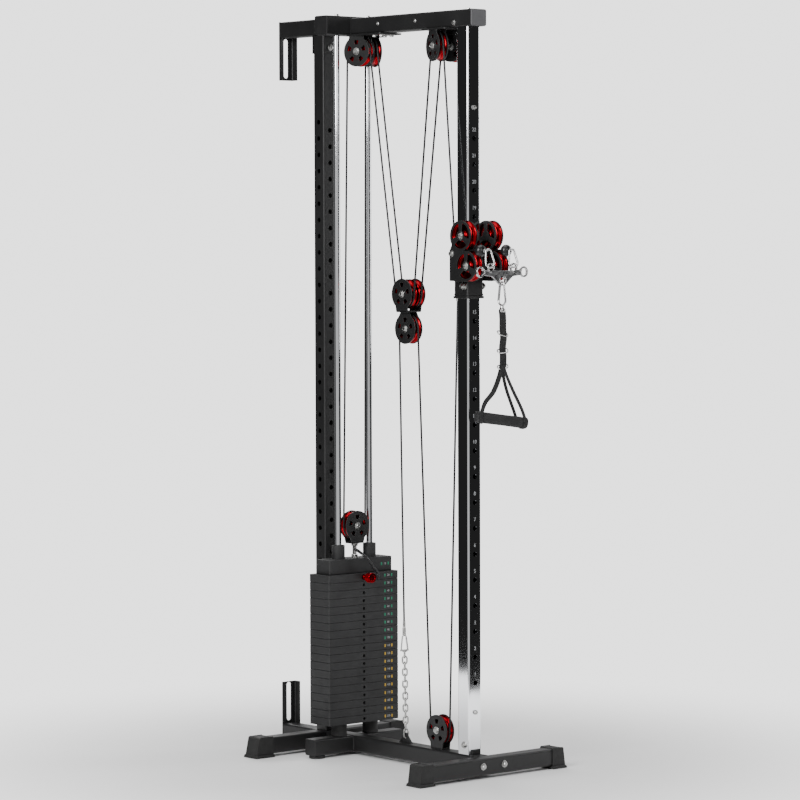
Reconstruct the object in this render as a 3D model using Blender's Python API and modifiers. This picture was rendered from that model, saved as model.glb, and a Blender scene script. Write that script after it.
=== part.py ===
"""Single-column cable tower: a weight stack on two guide rods, a pulley trolley on a drilled
chrome column, a floating pulley block between them, a pull bar and a strap handle.
Metres, +Z up, +Y towards the wall, the user stands at -Y. Origin: on the floor, under the middle
of the whole machine, its handle included."""

import bpy
import bmesh
from math import atan2, ceil, cos, hypot, pi, radians, sin
from mathutils import Matrix, Vector

# ---------------------------------------------------------------- driving dimensions
GAP = 0.0003            # clearance between pieces that touch
FLOOR_PAD = 0.009       # rubber under the base tubes
TUBE = 0.050            # square frame tube
WALL = 0.0025           # frame tube wall
CORNER = 0.005          # outer corner radius of the tube

WALL_Y = 0.521          # face that bolts to the wall
REAR_BAR_Y = 0.328      # centre line of the rear crossbar and upright
STACK_Y = 0.196         # centre line of the stack, rods and stack crossbar
COLUMN_Y = -0.334       # centre line of the chrome column
FRONT_BAR_Y = COLUMN_Y - 0.080    # centre line of the front crossbar
FRONT_BAR_HALF = 0.275
REAR_BAR_HALF = 0.285
STACK_BAR_HALF = 0.175
CAP_INNER = 0.237       # inner end of every cap, from the mid plane
CAP_WALL = 0.0025
FRONT_TOE = 0.291       # tips of the caps' sloped ends
REAR_TOE = 0.305
CAP_FLARE = 0.033       # half width of a cap's foot

FRAME_TOP = 2.254       # top of the head tube and the wall arm
BEAM_Z = FRAME_TOP - 0.056    # underside of the top beam
HEAD_TUBE = (0.060, 0.058)   # depth and height of the tube that holds the rod tops
HEAD_HALF = 0.118
BEAM = (0.060, 0.050)   # top beam width and height
BEAM_FRONT = 0.044      # how far the top beam runs in front of the column's centre
ARM_TAB = 0.055         # tabs that straddle the upright's top
TAB_THICK = 0.004

HOLE_R = 0.0075         # column and upright holes
COLUMN_PITCH = 0.0762
COLUMN_HOLES = 22
COLUMN_TOP_HOLE = FRAME_TOP - 0.383
UPRIGHT_PITCH = 0.050
UPRIGHT_HOLES = 37
UPRIGHT_TOP_HOLE = FRAME_TOP - 0.341
SIDE_HOLE_LIFT = 0.025  # the side row sits half a pitch above the front row

BRACKET_PLATE = 0.004
BRACKET_TALL = 0.181
BRACKET_LEG = 0.020
SLOT_WIDE = 0.018
SLOT_TALL = 0.122
SLOT_END = 0.007        # metal left past the slot's free end

ROD_R = 0.0095
ROD_X = 0.062
BUMPER_R = 0.025
STACK_BASE = 0.099      # underside of the lowest plate
PLATE = (0.276, 0.095, 0.0242)
PLATES = 19
PLATE_GROOVE = 0.0008
HEADER = (0.248, 0.068, 0.044)
SLEEVE_R = 0.020
SLEEVE_TALL = 0.042
STEM_R = 0.0125
PIN_R = 0.0045
PIN_REACH = 0.010       # how far the selector pin passes the stem's centre

SHEAVE_R = 0.0445
CABLE_TRACK = 0.0425    # radius of the cable's centre line on a sheave
GROOVE_R = 0.0388
SHEAVE_HALF = 0.010
AXLE_R = 0.005
CABLE_R = 0.00275
CHEEK_R = 0.046
CHEEK_IN = 0.0125       # inside face of a cheek from the sheave's mid plane
CHEEK = 0.003
REAR_CHEEK_IN = 0.0108      # the rear pair sits closer, so its cheeks do too

TOP_AXLE_Z = BEAM_Z - 0.052
REAR_TOP = (0.0252, 0.134)    # sheave centre, offset from the mid plane and depth
FRONT_TOP = (0.032, COLUMN_Y + 0.101)
REAR_SPLAY = radians(14.5)
FRONT_SPLAY = radians(16)
BLOCK_Y = -0.064
BLOCK_Z = (1.310, 1.414)      # lower and upper axles of the floating block
BLOCK_X = 0.0145              # the two upper sheaves
LOW_SHEAVE = (COLUMN_Y + 0.131, 0.115)  # depth and height of the low sheave
STACK_SHEAVE_Z = 0.702
STACK_SHEAVE_Y = STACK_Y - 0.003

TROLLEY_X = 0.050             # mid plane of the side sheaves
TROLLEY_UP = (COLUMN_Y - 0.0355, 1.587)
TROLLEY_LOW = (COLUMN_Y - 0.059, 1.499)
COLLAR_WALL = 0.0055
COLLAR_PLAY = 0.0006
COLLAR_Z = (1.404, 1.560)
POP_PIN_Z = 1.490
EXIT_Z = 1.5435
DOWN_LUG_Y = COLUMN_Y + 0.049

STOP_Y = COLUMN_Y - 0.105
STOP_R = 0.018
BAR_Y = COLUMN_Y - 0.145
BAR_THICK = 0.008
BAR_RINGS = ((-0.085, 1.482, 0.016), (-0.045, 1.494, 0.014), (0.0, 1.456, 0.0145),
             (0.045, 1.494, 0.014), (0.085, 1.482, 0.016))
RING_WIRE = 0.005
WIRE_R = 0.003
GRIP_R = 0.0165
GRIP_LONG = 0.128
GRIP_Z = 1.052
STRAP_WIDE = 0.024
STRAP_THICK = 0.004
STRAP_SPLIT_Z = 1.200
CHAIN_Y = -0.046
CHAIN_TOP = (-0.039, 0.425)
LUG_TOP = 0.089

BASE_TOP = FLOOR_PAD + TUBE
BASE_MID = FLOOR_PAD + TUBE / 2
STACK_TOP = STACK_BASE + PLATES * PLATE[2]
ARM_Z = FRAME_TOP - TUBE / 2

# ---------------------------------------------------------------- scene and materials
for old in list(bpy.data.objects):
    bpy.data.objects.remove(old, do_unlink=True)
parts = bpy.data.collections.new("cable_tower")
cutters = bpy.data.collections.new("cutters")
for group in (parts, cutters):
    bpy.context.scene.collection.children.link(group)
cutters.hide_render = True


def finish(name, colour, roughness, metallic):
    mat = bpy.data.materials.new(name)
    mat.use_nodes = True
    shader = mat.node_tree.nodes["Principled BSDF"]
    shader.inputs["Base Color"].default_value = (*colour, 1)
    shader.inputs["Roughness"].default_value = roughness
    shader.inputs["Metallic"].default_value = metallic
    return mat


POWDER = finish("black_powder_coat", (0.018, 0.018, 0.019), 0.42, 0.1)
CHROME = finish("chrome_plate", (0.75, 0.76, 0.78), 0.08, 1.0)
RED = finish("red_anodised", (0.42, 0.01, 0.02), 0.25, 1.0)
CAST = finish("coated_weight", (0.045, 0.046, 0.048), 0.5, 0.1)
RUBBER = finish("black_rubber", (0.015, 0.015, 0.015), 0.8, 0.0)
CABLE = finish("coated_cable", (0.012, 0.012, 0.012), 0.35, 0.0)
WEBBING = finish("nylon_webbing", (0.012, 0.012, 0.013), 0.9, 0.0)
FOAM = finish("foam_grip", (0.02, 0.02, 0.021), 0.85, 0.0)


# ---------------------------------------------------------------- shape helpers
def place(obj, name, mat, home=parts):
    """Name an object, give it its material and put it in its collection."""
    obj.name = name
    for owner in list(obj.users_collection):
        owner.objects.unlink(obj)
    home.objects.link(obj)
    if obj.type == "MESH":
        obj.data.materials.clear()
        obj.data.materials.append(mat)
    return obj


def helper(obj):
    """Turn an object into a hidden operand."""
    place(obj, obj.name + "_tool", POWDER, cutters)
    obj.hide_render = True
    obj.display_type = "WIRE"
    return obj


def from_bmesh(name, bm, mat):
    bmesh.ops.recalc_face_normals(bm, faces=bm.faces)
    mesh = bpy.data.meshes.new(name)
    bm.to_mesh(mesh)
    bm.free()
    return place(bpy.data.objects.new(name, mesh), name, mat)


def box(name, low, high, mat, bevel=0.0):
    bm = bmesh.new()
    low, high = Vector(low), Vector(high)
    size = Matrix.Diagonal((*(high - low), 1))
    bmesh.ops.create_cube(bm, size=1, matrix=Matrix.Translation((low + high) / 2) @ size)
    obj = from_bmesh(name, bm, mat)
    if bevel:
        edge = obj.modifiers.new("edges", "BEVEL")
        edge.width = bevel
        edge.segments = 1
    return obj


def rod(name, start, end, radius, mat, sides=16, end_radius=None):
    """A straight round bar, or a cone where end_radius differs."""
    start, end = Vector(start), Vector(end)
    along = end - start
    turn = along.to_track_quat("Z", "Y").to_matrix().to_4x4()
    bm = bmesh.new()
    bmesh.ops.create_cone(
        bm, cap_ends=True, segments=sides, radius1=radius,
        radius2=radius if end_radius is None else end_radius, depth=along.length,
        matrix=Matrix.Translation((start + end) / 2) @ turn)
    return from_bmesh(name, bm, mat)


def solid_from_curve(name, curve_obj, mat):
    """Convert a curve to a mesh with welded caps, and drop the curve."""
    bpy.context.view_layer.update()
    graph = bpy.context.evaluated_depsgraph_get()
    mesh = bpy.data.meshes.new_from_object(curve_obj.evaluated_get(graph))
    bm = bmesh.new()
    bm.from_mesh(mesh)
    bmesh.ops.remove_doubles(bm, verts=bm.verts, dist=1e-6)
    bmesh.ops.recalc_face_normals(bm, faces=bm.faces)
    bm.to_mesh(mesh)
    bm.free()
    obj = bpy.data.objects.new(name, mesh)
    obj.matrix_world = curve_obj.matrix_world.copy()
    bpy.data.objects.remove(curve_obj, do_unlink=True)
    return place(obj, name, mat)


def plate(name, outline, openings, thickness, frame, mat):
    """A flat outline with openings, drawn in a frame's XY plane and centred on it."""
    data = bpy.data.curves.new(name, "CURVE")
    data.dimensions = "2D"
    data.fill_mode = "BOTH"
    data.extrude = thickness / 2
    for loop in (outline, *openings):
        spline = data.splines.new("POLY")
        spline.points.add(len(loop) - 1)
        for point, (u, v) in zip(spline.points, loop):
            point.co = (u, v, 0, 1)
        spline.use_cyclic_u = True
    obj = bpy.data.objects.new(name, data)
    obj.matrix_world = frame
    parts.objects.link(obj)
    return solid_from_curve(name, obj, mat)


def axes(origin, across, up):
    """A frame whose X is across, Y is up and Z is their cross product."""
    across, up = Vector(across).normalized(), Vector(up).normalized()
    turn = Matrix((across, up, across.cross(up))).transposed().to_4x4()
    return Matrix.Translation(origin) @ turn


def arc(centre, radius, start, end, steps):
    """Points on a circle between two angles in degrees, ends included."""
    angles = [radians(start + (end - start) * i / steps) for i in range(steps + 1)]
    return [(centre[0] + radius * cos(a), centre[1] + radius * sin(a)) for a in angles]


def rounded(width, height, radius):
    """A rectangle with chamfer-like round corners, centred on the origin."""
    loop = []
    for sx, sy, start in ((1, 1, 0), (-1, 1, 90), (-1, -1, 180), (1, -1, 270)):
        corner = (sx * (width / 2 - radius), sy * (height / 2 - radius))
        loop += arc(corner, radius, start, start + 90, 2)
    return loop


def square_tube(name, start, end, size, mat, across=(1, 0, 0)):
    """A hollow rectangular tube with open ends, its corners rounded."""
    start, end = Vector(start), Vector(end)
    up = (end - start).normalized().cross(Vector(across))
    inside = [(sx * (size[0] / 2 - WALL), sy * (size[1] / 2 - WALL))
              for sx, sy in ((1, 1), (-1, 1), (-1, -1), (1, -1))]
    frame = axes((start + end) / 2, across, up)
    return plate(name, rounded(*size, CORNER), [inside], (end - start).length, frame, mat)


def cut(obj, tool):
    """Cut a hidden operand out of an object."""
    step = obj.modifiers.new("cut", "BOOLEAN")
    step.operation = "DIFFERENCE"
    step.object = helper(tool)
    return obj


def weld(obj, *others):
    """Fuse other pieces into an object."""
    for other in others:
        step = obj.modifiers.new("weld", "BOOLEAN")
        step.operation = "UNION"
        step.object = helper(other)
    return obj


def drill(obj, ends, radius, sides=8):
    """Cut straight round holes, given as pairs of end points that don't cross."""
    bm = bmesh.new()
    for start, end in ends:
        start, end = Vector(start), Vector(end)
        along = end - start
        turn = along.to_track_quat("Z", "Y").to_matrix().to_4x4()
        bmesh.ops.create_cone(
            bm, cap_ends=True, segments=sides, radius1=radius, radius2=radius,
            depth=along.length, matrix=Matrix.Translation((start + end) / 2) @ turn)
    return cut(obj, from_bmesh(obj.name + "_holes", bm, POWDER))


def turned(name, profile, mat, steps, closed=True):
    """Revolve a profile of (radius, height) pairs about Z with a Screw modifier."""
    mesh = bpy.data.meshes.new(name)
    edges = [(i, i + 1) for i in range(len(profile) - 1)]
    if closed:
        edges.append((len(profile) - 1, 0))
    mesh.from_pydata([(r, 0, z) for r, z in profile], edges, [])
    obj = place(bpy.data.objects.new(name, mesh), name, mat)
    screw = obj.modifiers.new("turn", "SCREW")
    screw.steps = screw.render_steps = steps
    screw.use_merge_vertices = True
    screw.merge_threshold = 1e-5
    return obj


def line_tube(name, points, radius, mat, closed=False):
    """A round tube along a list of points."""
    data = bpy.data.curves.new(name, "CURVE")
    data.dimensions = "3D"
    data.bevel_depth = radius
    data.bevel_resolution = 1
    data.use_fill_caps = True
    spline = data.splines.new("POLY")
    spline.points.add(len(points) - 1)
    for node, spot in zip(spline.points, points):
        node.co = (*spot, 1)
    spline.use_cyclic_u = closed
    obj = bpy.data.objects.new(name, data)
    parts.objects.link(obj)
    return solid_from_curve(name, obj, mat)


# ---------------------------------------------------------------- base
def base_frame():
    """Main beam with the two stack stubs and the chain lug welded on."""
    half = TUBE / 2
    beam = square_tube("base_frame", (0, FRONT_BAR_Y + half + GAP, BASE_MID),
                       (0, REAR_BAR_Y - half - GAP, BASE_MID), (TUBE, TUBE), POWDER)
    stubs = []
    for side in (-1, 1):
        stubs.append(square_tube(f"stub_{side}", (side * (half - WALL / 2), STACK_Y, BASE_MID),
                                 (side * STACK_BAR_HALF, STACK_Y, BASE_MID),
                                 (TUBE, TUBE), POWDER, across=(0, 1, 0)))
    foot, peak = 0.027, 0.011
    lug_frame = axes((0, CHAIN_Y, 0), (0, 1, 0), (0, 0, 1))
    outline = [(-foot, BASE_TOP - WALL / 2), (foot, BASE_TOP - WALL / 2),
               *arc((0, LUG_TOP - peak), peak, 0, 180, 6)]
    lug = plate("lug", outline, [arc((0, LUG_TOP - peak - 0.003), 0.0055, 0, 315, 7)],
                0.005, lug_frame, POWDER)
    return weld(beam, *stubs, lug)


def crossbar(name, y, half_length):
    return square_tube(name, (-half_length, y, BASE_MID), (half_length, y, BASE_MID),
                       (TUBE, TUBE), POWDER, across=(0, 1, 0))


def foot_cap(name, y, half_length, toe, side):
    """Rubber end cap: a sleeve over the tube's end, sloped outside, on a flared foot."""
    inner = CAP_INNER
    top = BASE_TOP + CAP_WALL
    outer = half_length + CAP_WALL
    outline = [(inner, FLOOR_PAD / 2), (inner, top), (outer, top), (toe - 0.004, FLOOR_PAD / 2)]
    width = TUBE + 2 * CAP_WALL
    frame = axes((0, y, 0), (side, 0, 0), (0, 0, 1))
    cap = plate(name, outline, [], width, frame, RUBBER)
    foot = [(inner - 0.004, 0), (inner - 0.004, FLOOR_PAD - GAP), (toe - 0.003, FLOOR_PAD),
            (toe, 0)]
    weld(cap, plate(name + "_foot", foot, [], 2 * CAP_FLARE, frame, RUBBER))
    play = GAP
    low = (side * (inner - 0.01), y - TUBE / 2 - play, FLOOR_PAD - play)
    high = (side * (half_length + play), y + TUBE / 2 + play, BASE_TOP + play)
    pocket = box(name + "_pocket", [min(a, b) for a, b in zip(low, high)],
                 [max(a, b) for a, b in zip(low, high)], RUBBER)
    return cut(cap, pocket)


base_frame()
crossbar("front_crossbar", FRONT_BAR_Y, FRONT_BAR_HALF)
crossbar("rear_crossbar", REAR_BAR_Y, REAR_BAR_HALF)
for end, side in (("left", -1), ("right", 1)):
    foot_cap(f"front_{end}_foot_cap", FRONT_BAR_Y, FRONT_BAR_HALF, FRONT_TOE, side)
    foot_cap(f"rear_{end}_foot_cap", REAR_BAR_Y, REAR_BAR_HALF, REAR_TOE, side)
    rod(f"stack_{end}_foot", (side * (STACK_BAR_HALF - 0.026), STACK_Y, 0),
        (side * (STACK_BAR_HALF - 0.026), STACK_Y, FLOOR_PAD - GAP), 0.025, RUBBER)


# ---------------------------------------------------------------- uprights and head
def column():
    """Chrome column with a row of holes through its front wall."""
    half = TUBE / 2
    post = square_tube("column", (0, COLUMN_Y, BASE_TOP + GAP), (0, COLUMN_Y, BEAM_Z - GAP),
                       (TUBE, TUBE), CHROME)
    rows = [COLUMN_TOP_HOLE - COLUMN_PITCH * k for k in range(COLUMN_HOLES)]
    front = COLUMN_Y - half
    return drill(post, [((0, front - 0.004, z), (0, front + 0.006, z)) for z in rows], HOLE_R)


def upright():
    """Rear upright with a row of holes in its front wall and one in its left wall."""
    outside, inside = TUBE / 2 + 0.004, TUBE / 2 - 0.006
    post = square_tube("rear_upright", (0, REAR_BAR_Y, BASE_TOP + GAP),
                       (0, REAR_BAR_Y, ARM_Z - TUBE / 2 - GAP), (TUBE, TUBE), POWDER)
    holes = []
    for k in range(UPRIGHT_HOLES):
        z = UPRIGHT_TOP_HOLE - UPRIGHT_PITCH * k
        holes.append(((0, REAR_BAR_Y - outside, z), (0, REAR_BAR_Y - inside, z)))
        z += SIDE_HOLE_LIFT
        holes.append(((-outside, REAR_BAR_Y, z), (-inside, REAR_BAR_Y, z)))
    return drill(post, holes, HOLE_R, sides=6)


def wall_mount(name, z_mid, low, slot_low, start_y, tabs):
    """An arm tube with a slotted angle across its end, welded as one piece."""
    half = TUBE / 2
    face = WALL_Y - BRACKET_PLATE
    arm = square_tube(name, (0, start_y, z_mid), (0, face + BRACKET_PLATE / 2, z_mid),
                      (TUBE, TUBE), POWDER)
    leg = half + BRACKET_PLATE
    slot = SLOT_WIDE / 2
    low_z, high_z = low, low + BRACKET_TALL
    outline = [(-half, low_z), (leg, low_z), (leg, high_z), (-half, high_z)]
    slot_high = slot_low + SLOT_TALL
    opening = (arc((0, slot_low + slot), slot, 180, 360, 6)
               + arc((0, slot_high - slot), slot, 0, 180, 6))
    frame = axes((0, WALL_Y - BRACKET_PLATE / 2, 0), (1, 0, 0), (0, 0, 1))
    flat = plate(name + "_flat", outline, [opening], BRACKET_PLATE, frame, POWDER)
    side = box(name + "_leg", (half - WALL / 2, face - BRACKET_LEG, low_z),
               (leg, face + BRACKET_PLATE / 2, high_z), POWDER)
    pieces = [flat, side]
    if tabs:
        for sign in (-1, 1):
            edge = REAR_BAR_Y + sign * (half + GAP)
            lo, hi = sorted((edge, edge + sign * TAB_THICK))
            pieces.append(box(f"{name}_tab{sign}", (-half, lo, z_mid - half - ARM_TAB),
                              (half, hi, z_mid - half + WALL / 2), POWDER))
    return weld(arm, *pieces)


column()
upright()
head_depth, head_tall = HEAD_TUBE
head_mid = FRAME_TOP - head_tall / 2
square_tube("rod_head_tube", (-HEAD_HALF, STACK_Y + 0.005, head_mid),
            (HEAD_HALF, STACK_Y + 0.005, head_mid), HEAD_TUBE, POWDER, across=(0, 1, 0))
head_front = STACK_Y + 0.005 - head_depth / 2
head_back = STACK_Y + 0.005 + head_depth / 2
square_tube("top_beam", (0, COLUMN_Y - BEAM_FRONT, BEAM_Z + BEAM[1] / 2),
            (0, head_front - GAP, BEAM_Z + BEAM[1] / 2), BEAM, POWDER)
slot_z = ARM_Z - TUBE / 2 - BRACKET_TALL + TUBE
wall_mount("upper_wall_mount", ARM_Z, slot_z, slot_z + SLOT_END, head_back + GAP, True)
low_slot = BASE_TOP + 0.002
wall_mount("lower_wall_mount", BASE_MID, FLOOR_PAD, low_slot, REAR_BAR_Y + TUBE / 2 + GAP, False)


# ---------------------------------------------------------------- sheaves and their brackets
def sheave(name, centre, axle):
    """Grooved wheel with a bore, turned about its axle."""
    rim = 0.002
    bottom = 0.003
    bore = AXLE_R + GAP
    half = SHEAVE_HALF
    profile = [(bore, half), (SHEAVE_R, half), (SHEAVE_R, half - rim), (GROOVE_R, bottom),
               (GROOVE_R, -bottom), (SHEAVE_R, rim - half), (SHEAVE_R, -half), (bore, -half)]
    wheel = turned(name, profile, RED, 16)
    turn = Vector(axle).to_track_quat("Z", "Y").to_matrix().to_4x4()
    wheel.matrix_world = Matrix.Translation(centre) @ turn
    return wheel


def windows():
    """Five wedge openings around a cheek's axle."""
    inner, outer, spread = 0.021, 0.033, 13
    loops = []
    for i in range(5):
        mid = 90 + 72 * i
        loops.append(arc((0, 0), outer, mid - spread, mid + spread, 2)
                     + arc((0, 0), inner, mid + spread * 0.8, mid - spread * 0.8, 1))
    return loops


def cheek_outline(reach, neck_half, neck_angle):
    """A disc that runs into a straight neck; reach is the neck's signed end height."""
    sign = 1 if reach > 0 else -1
    start = 90 - neck_angle
    loop = arc((0, 0), CHEEK_R, start, -270 + neck_angle, 14)
    loop = [(u, sign * v) for u, v in loop]
    return loop + [(-neck_half, reach), (neck_half, reach)]


def fork(name, centre, turn, reach, neck_half, half_gap=CHEEK_IN):
    """Two cheeks and the axle of one sheave. Returns the pieces, for welding."""
    frame = Matrix.Translation(centre) @ Matrix.Rotation(turn, 4, "Z")
    pieces = []
    outline = cheek_outline(reach, neck_half, 38)
    for sign in (-1, 1):
        middle = sign * (half_gap + CHEEK / 2)
        local = frame @ axes((middle, 0, 0), (0, 1, 0), (0, 0, 1))
        pieces.append(plate(f"{name}_cheek{sign}", outline, windows(), CHEEK, local, POWDER))
    span = half_gap + CHEEK + 0.005
    pieces.append(rod(f"{name}_axle", frame @ Vector((-span, 0, 0)), frame @ Vector((span, 0, 0)),
                      AXLE_R, POWDER, 8))
    return pieces


def top_bracket(name, offset, y, splay, half_gap, back, front, wide):
    """Mounting plate under the top beam with a splayed fork each side."""
    plate_low = BEAM_Z - GAP - 0.005
    base = box(name, (-wide, y - front, plate_low), (wide, y + back, BEAM_Z - GAP), POWDER)
    reach = plate_low - TOP_AXLE_Z + 0.001
    for side, sign in (("left", -1), ("right", 1)):
        centre = (sign * offset, y, TOP_AXLE_Z)
        weld(base, *fork(f"{name}_{side}", centre, sign * splay, reach, 0.026, half_gap))
    return base


def axle_direction(splay):
    return Vector((cos(splay), sin(splay), 0))


top_bracket("rear_top_bracket", *REAR_TOP, -REAR_SPLAY, REAR_CHEEK_IN, 0.036, 0.120, 0.044)
top_bracket("front_top_bracket", *FRONT_TOP, FRONT_SPLAY, CHEEK_IN, 0.050, 0.055, 0.052)
for end, sign in (("left", -1), ("right", 1)):
    sheave(f"rear_top_{end}_pulley", (sign * REAR_TOP[0], REAR_TOP[1], TOP_AXLE_Z),
           axle_direction(-sign * REAR_SPLAY))
    sheave(f"front_top_{end}_pulley", (sign * FRONT_TOP[0], FRONT_TOP[1], TOP_AXLE_Z),
           axle_direction(sign * FRONT_SPLAY))

low_y, low_z = LOW_SHEAVE
low_base = box("low_pulley_bracket", (-0.0155, low_y - 0.026, BASE_TOP + GAP),
               (0.0155, low_y + 0.026, BASE_TOP + GAP + 0.004), POWDER)
weld(low_base, *fork("low", (0, low_y, low_z), 0, BASE_TOP + GAP + 0.001 - low_z, 0.026))
sheave("low_pulley", (0, low_y, low_z), (1, 0, 0))


# ---------------------------------------------------------------- floating block
def floating_block():
    """Double fork above a single fork, joined by a cross plate."""
    lower, upper = BLOCK_Z
    cross = (1.3595, 1.3645)
    span = BLOCK_X + SHEAVE_HALF + 0.0005 + CHEEK
    block = box("floating_block", (-span, BLOCK_Y - 0.025, cross[0]),
                (span, BLOCK_Y + 0.025, cross[1]), POWDER)
    top = fork("block_upper", (0, BLOCK_Y, upper), 0, cross[0] + 0.001 - upper, 0.025,
               half_gap=span - CHEEK)
    low = fork("block_lower", (0, BLOCK_Y, lower), 0, cross[1] - 0.001 - lower, 0.018)
    return weld(block, *top, *low)


floating_block()
for end, sign in (("left", -1), ("right", 1)):
    sheave(f"floating_{end}_pulley", (sign * BLOCK_X, BLOCK_Y, BLOCK_Z[1]), (1, 0, 0))
sheave("floating_lower_pulley", (0, BLOCK_Y, BLOCK_Z[0]), (1, 0, 0))


# ---------------------------------------------------------------- weight stack
def rod_bores(obj, low, high, radius):
    return drill(obj, [((s * ROD_X, STACK_Y, low), (s * ROD_X, STACK_Y, high))
                       for s in (-1, 1)], radius, sides=12)


def stack_block():
    """The plates below the selected one, joined by a slightly smaller core."""
    wide, deep, tall = PLATE
    count = PLATES - 1
    top = STACK_BASE + count * tall
    core_in = 0.002
    core = box("weight_plates", (-wide / 2 + core_in, STACK_Y - deep / 2 + core_in, STACK_BASE + 0.001),
               (wide / 2 - core_in, STACK_Y + deep / 2 - core_in, top - 0.001), CAST)
    layer = box("layer", (-wide / 2, STACK_Y - deep / 2, STACK_BASE),
                (wide / 2, STACK_Y + deep / 2, STACK_BASE + tall - PLATE_GROOVE), CAST)
    repeat = layer.modifiers.new("stack", "ARRAY")
    repeat.count = count
    repeat.use_relative_offset = False
    repeat.use_constant_offset = True
    repeat.constant_offset_displace = (0, 0, tall)
    weld(core, layer)
    rod_bores(core, STACK_BASE - 0.01, top + 0.01, ROD_R + 0.0015)
    drill(core, [((0, STACK_Y, STACK_BASE - 0.01), (0, STACK_Y, top + 0.01))], STEM_R + 0.001, 12)
    pins = [((0, STACK_Y - deep / 2 - 0.01, STACK_BASE + tall * (k + 0.5)),
             (0, STACK_Y - STEM_R + 0.002, STACK_BASE + tall * (k + 0.5))) for k in range(count)]
    return drill(core, pins, PIN_R + 0.0005, 6)


def header():
    """Top plate of the stack with the two guide sleeves."""
    wide, deep, tall = HEADER
    low = STACK_TOP + GAP
    top = low + tall
    body = box("stack_header", (-wide / 2, STACK_Y - deep / 2, low),
               (wide / 2, STACK_Y + deep / 2, top), CAST, bevel=0.0015)
    for side in (-1, 1):
        weld(body, rod(f"sleeve_{side}", (side * ROD_X, STACK_Y, top - 0.002),
                       (side * ROD_X, STACK_Y, top + SLEEVE_TALL), SLEEVE_R, CAST))
    return rod_bores(body, low - 0.01, top + SLEEVE_TALL + 0.01, ROD_R + 0.0007)


def top_weight():
    """The one plate that the selector pin holds at rest."""
    wide, deep, tall = PLATE
    low = STACK_TOP - tall
    body = box("selected_plate", (-wide / 2, STACK_Y - deep / 2, low + GAP),
               (wide / 2, STACK_Y + deep / 2, low + tall - PLATE_GROOVE), CAST)
    rod_bores(body, low - 0.01, low + tall + 0.01, ROD_R + 0.0015)
    drill(body, [((0, STACK_Y, low - 0.01), (0, STACK_Y, low + tall + 0.01))], STEM_R + 0.001, 12)
    mid = STACK_TOP - tall / 2
    return drill(body, [((0, STACK_Y - deep / 2 - 0.01, mid), (0, STACK_Y - STEM_R + 0.002, mid))],
                 PIN_R + 0.0005, 8)


def selector_stem():
    """Drilled bar that hangs from the header through every plate."""
    tall = PLATE[2]
    stem = rod("selector_stem", (0, STACK_Y, STACK_BASE + 0.004), (0, STACK_Y, STACK_TOP - GAP / 3),
               STEM_R, CHROME, 8)
    holes = [((0, STACK_Y - 0.02, STACK_BASE + tall * (k + 0.5)),
              (0, STACK_Y + 0.02, STACK_BASE + tall * (k + 0.5))) for k in range(PLATES)]
    return drill(stem, holes, PIN_R + 0.0011, 6)


def stack_pulley_bracket():
    """Fork over the header on a threaded neck with a lock nut."""
    foot = STACK_TOP + GAP + HEADER[2] + GAP
    centre = (0, STACK_SHEAVE_Y, STACK_SHEAVE_Z)
    bridge = 0.652
    body = rod("stack_pulley_bracket", (0, STACK_SHEAVE_Y, foot), (0, STACK_SHEAVE_Y, bridge),
               0.0095, CHROME, 6)
    cross = box("bridge", (-0.024, STACK_SHEAVE_Y - CHEEK_IN - CHEEK, bridge - 0.004),
                (0.024, STACK_SHEAVE_Y + CHEEK_IN + CHEEK, bridge + 0.002), POWDER)
    return weld(body, cross, *fork("stack", centre, pi / 2, bridge - 0.002 - STACK_SHEAVE_Z, 0.024))


def selector_pin():
    """Straight pin with a collar and a knob, in front of the selected plate."""
    z = STACK_TOP - PLATE[2] / 2
    face = STACK_Y - PLATE[1] / 2
    pin = rod("selector_pin", (0, STACK_Y + PIN_REACH, z), (0, face - 0.022, z), PIN_R, RED, 10)
    collar = rod("collar", (0, face - GAP, z), (0, face - 0.010, z), 0.009, RED, 12)
    knob = rod("knob", (0, face - 0.019, z), (0, face - 0.042, z), 0.0155, RED, 16)
    return weld(pin, collar, knob)


for end, sign in (("left", -1), ("right", 1)):
    rod(f"{end}_guide_rod", (sign * ROD_X, STACK_Y, BASE_TOP + GAP),
        (sign * ROD_X, STACK_Y, FRAME_TOP - head_tall - GAP), ROD_R, CHROME, 14)
    pad = [(ROD_R + 0.0008, STACK_BASE - BASE_TOP - 2 * GAP), (BUMPER_R, STACK_BASE - BASE_TOP - 2 * GAP),
           (BUMPER_R, 0), (ROD_R + 0.0008, 0)]
    bumper = turned(f"{end}_stack_bumper", pad, RUBBER, 16)
    bumper.location = (sign * ROD_X, STACK_Y, BASE_TOP + GAP)
stack_block()
header()
top_weight()
selector_stem()
stack_pulley_bracket()
sheave("stack_pulley", (0, STACK_SHEAVE_Y, STACK_SHEAVE_Z), (0, 1, 0))
selector_pin()


# ---------------------------------------------------------------- trolley
def side_windows(axle):
    """Two tall wedges above an axle and a round hole below it."""
    y, z = axle
    loops = [arc((y, z + 0.001), 0.037, a, b, 3) + arc((y, z + 0.001), 0.016, b - 6, a + 6, 1)
             for a, b in ((22, 76), (104, 158))]
    return loops + [arc((y, z - 0.024), 0.0095, 0, 315, 7)]


def side_outline():
    """Figure of eight round both axles with a square flange behind."""
    rear, radius = COLUMN_Y + 0.011, 0.0448
    lean = 75
    loop = [(rear, TROLLEY_LOW[1] - radius + 0.001)]
    loop += arc(TROLLEY_LOW, radius, 270, lean, 9)
    loop += arc(TROLLEY_UP, radius, lean + 180, -35, 13)
    return loop + [(rear, TROLLEY_LOW[1] + radius)]


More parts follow.
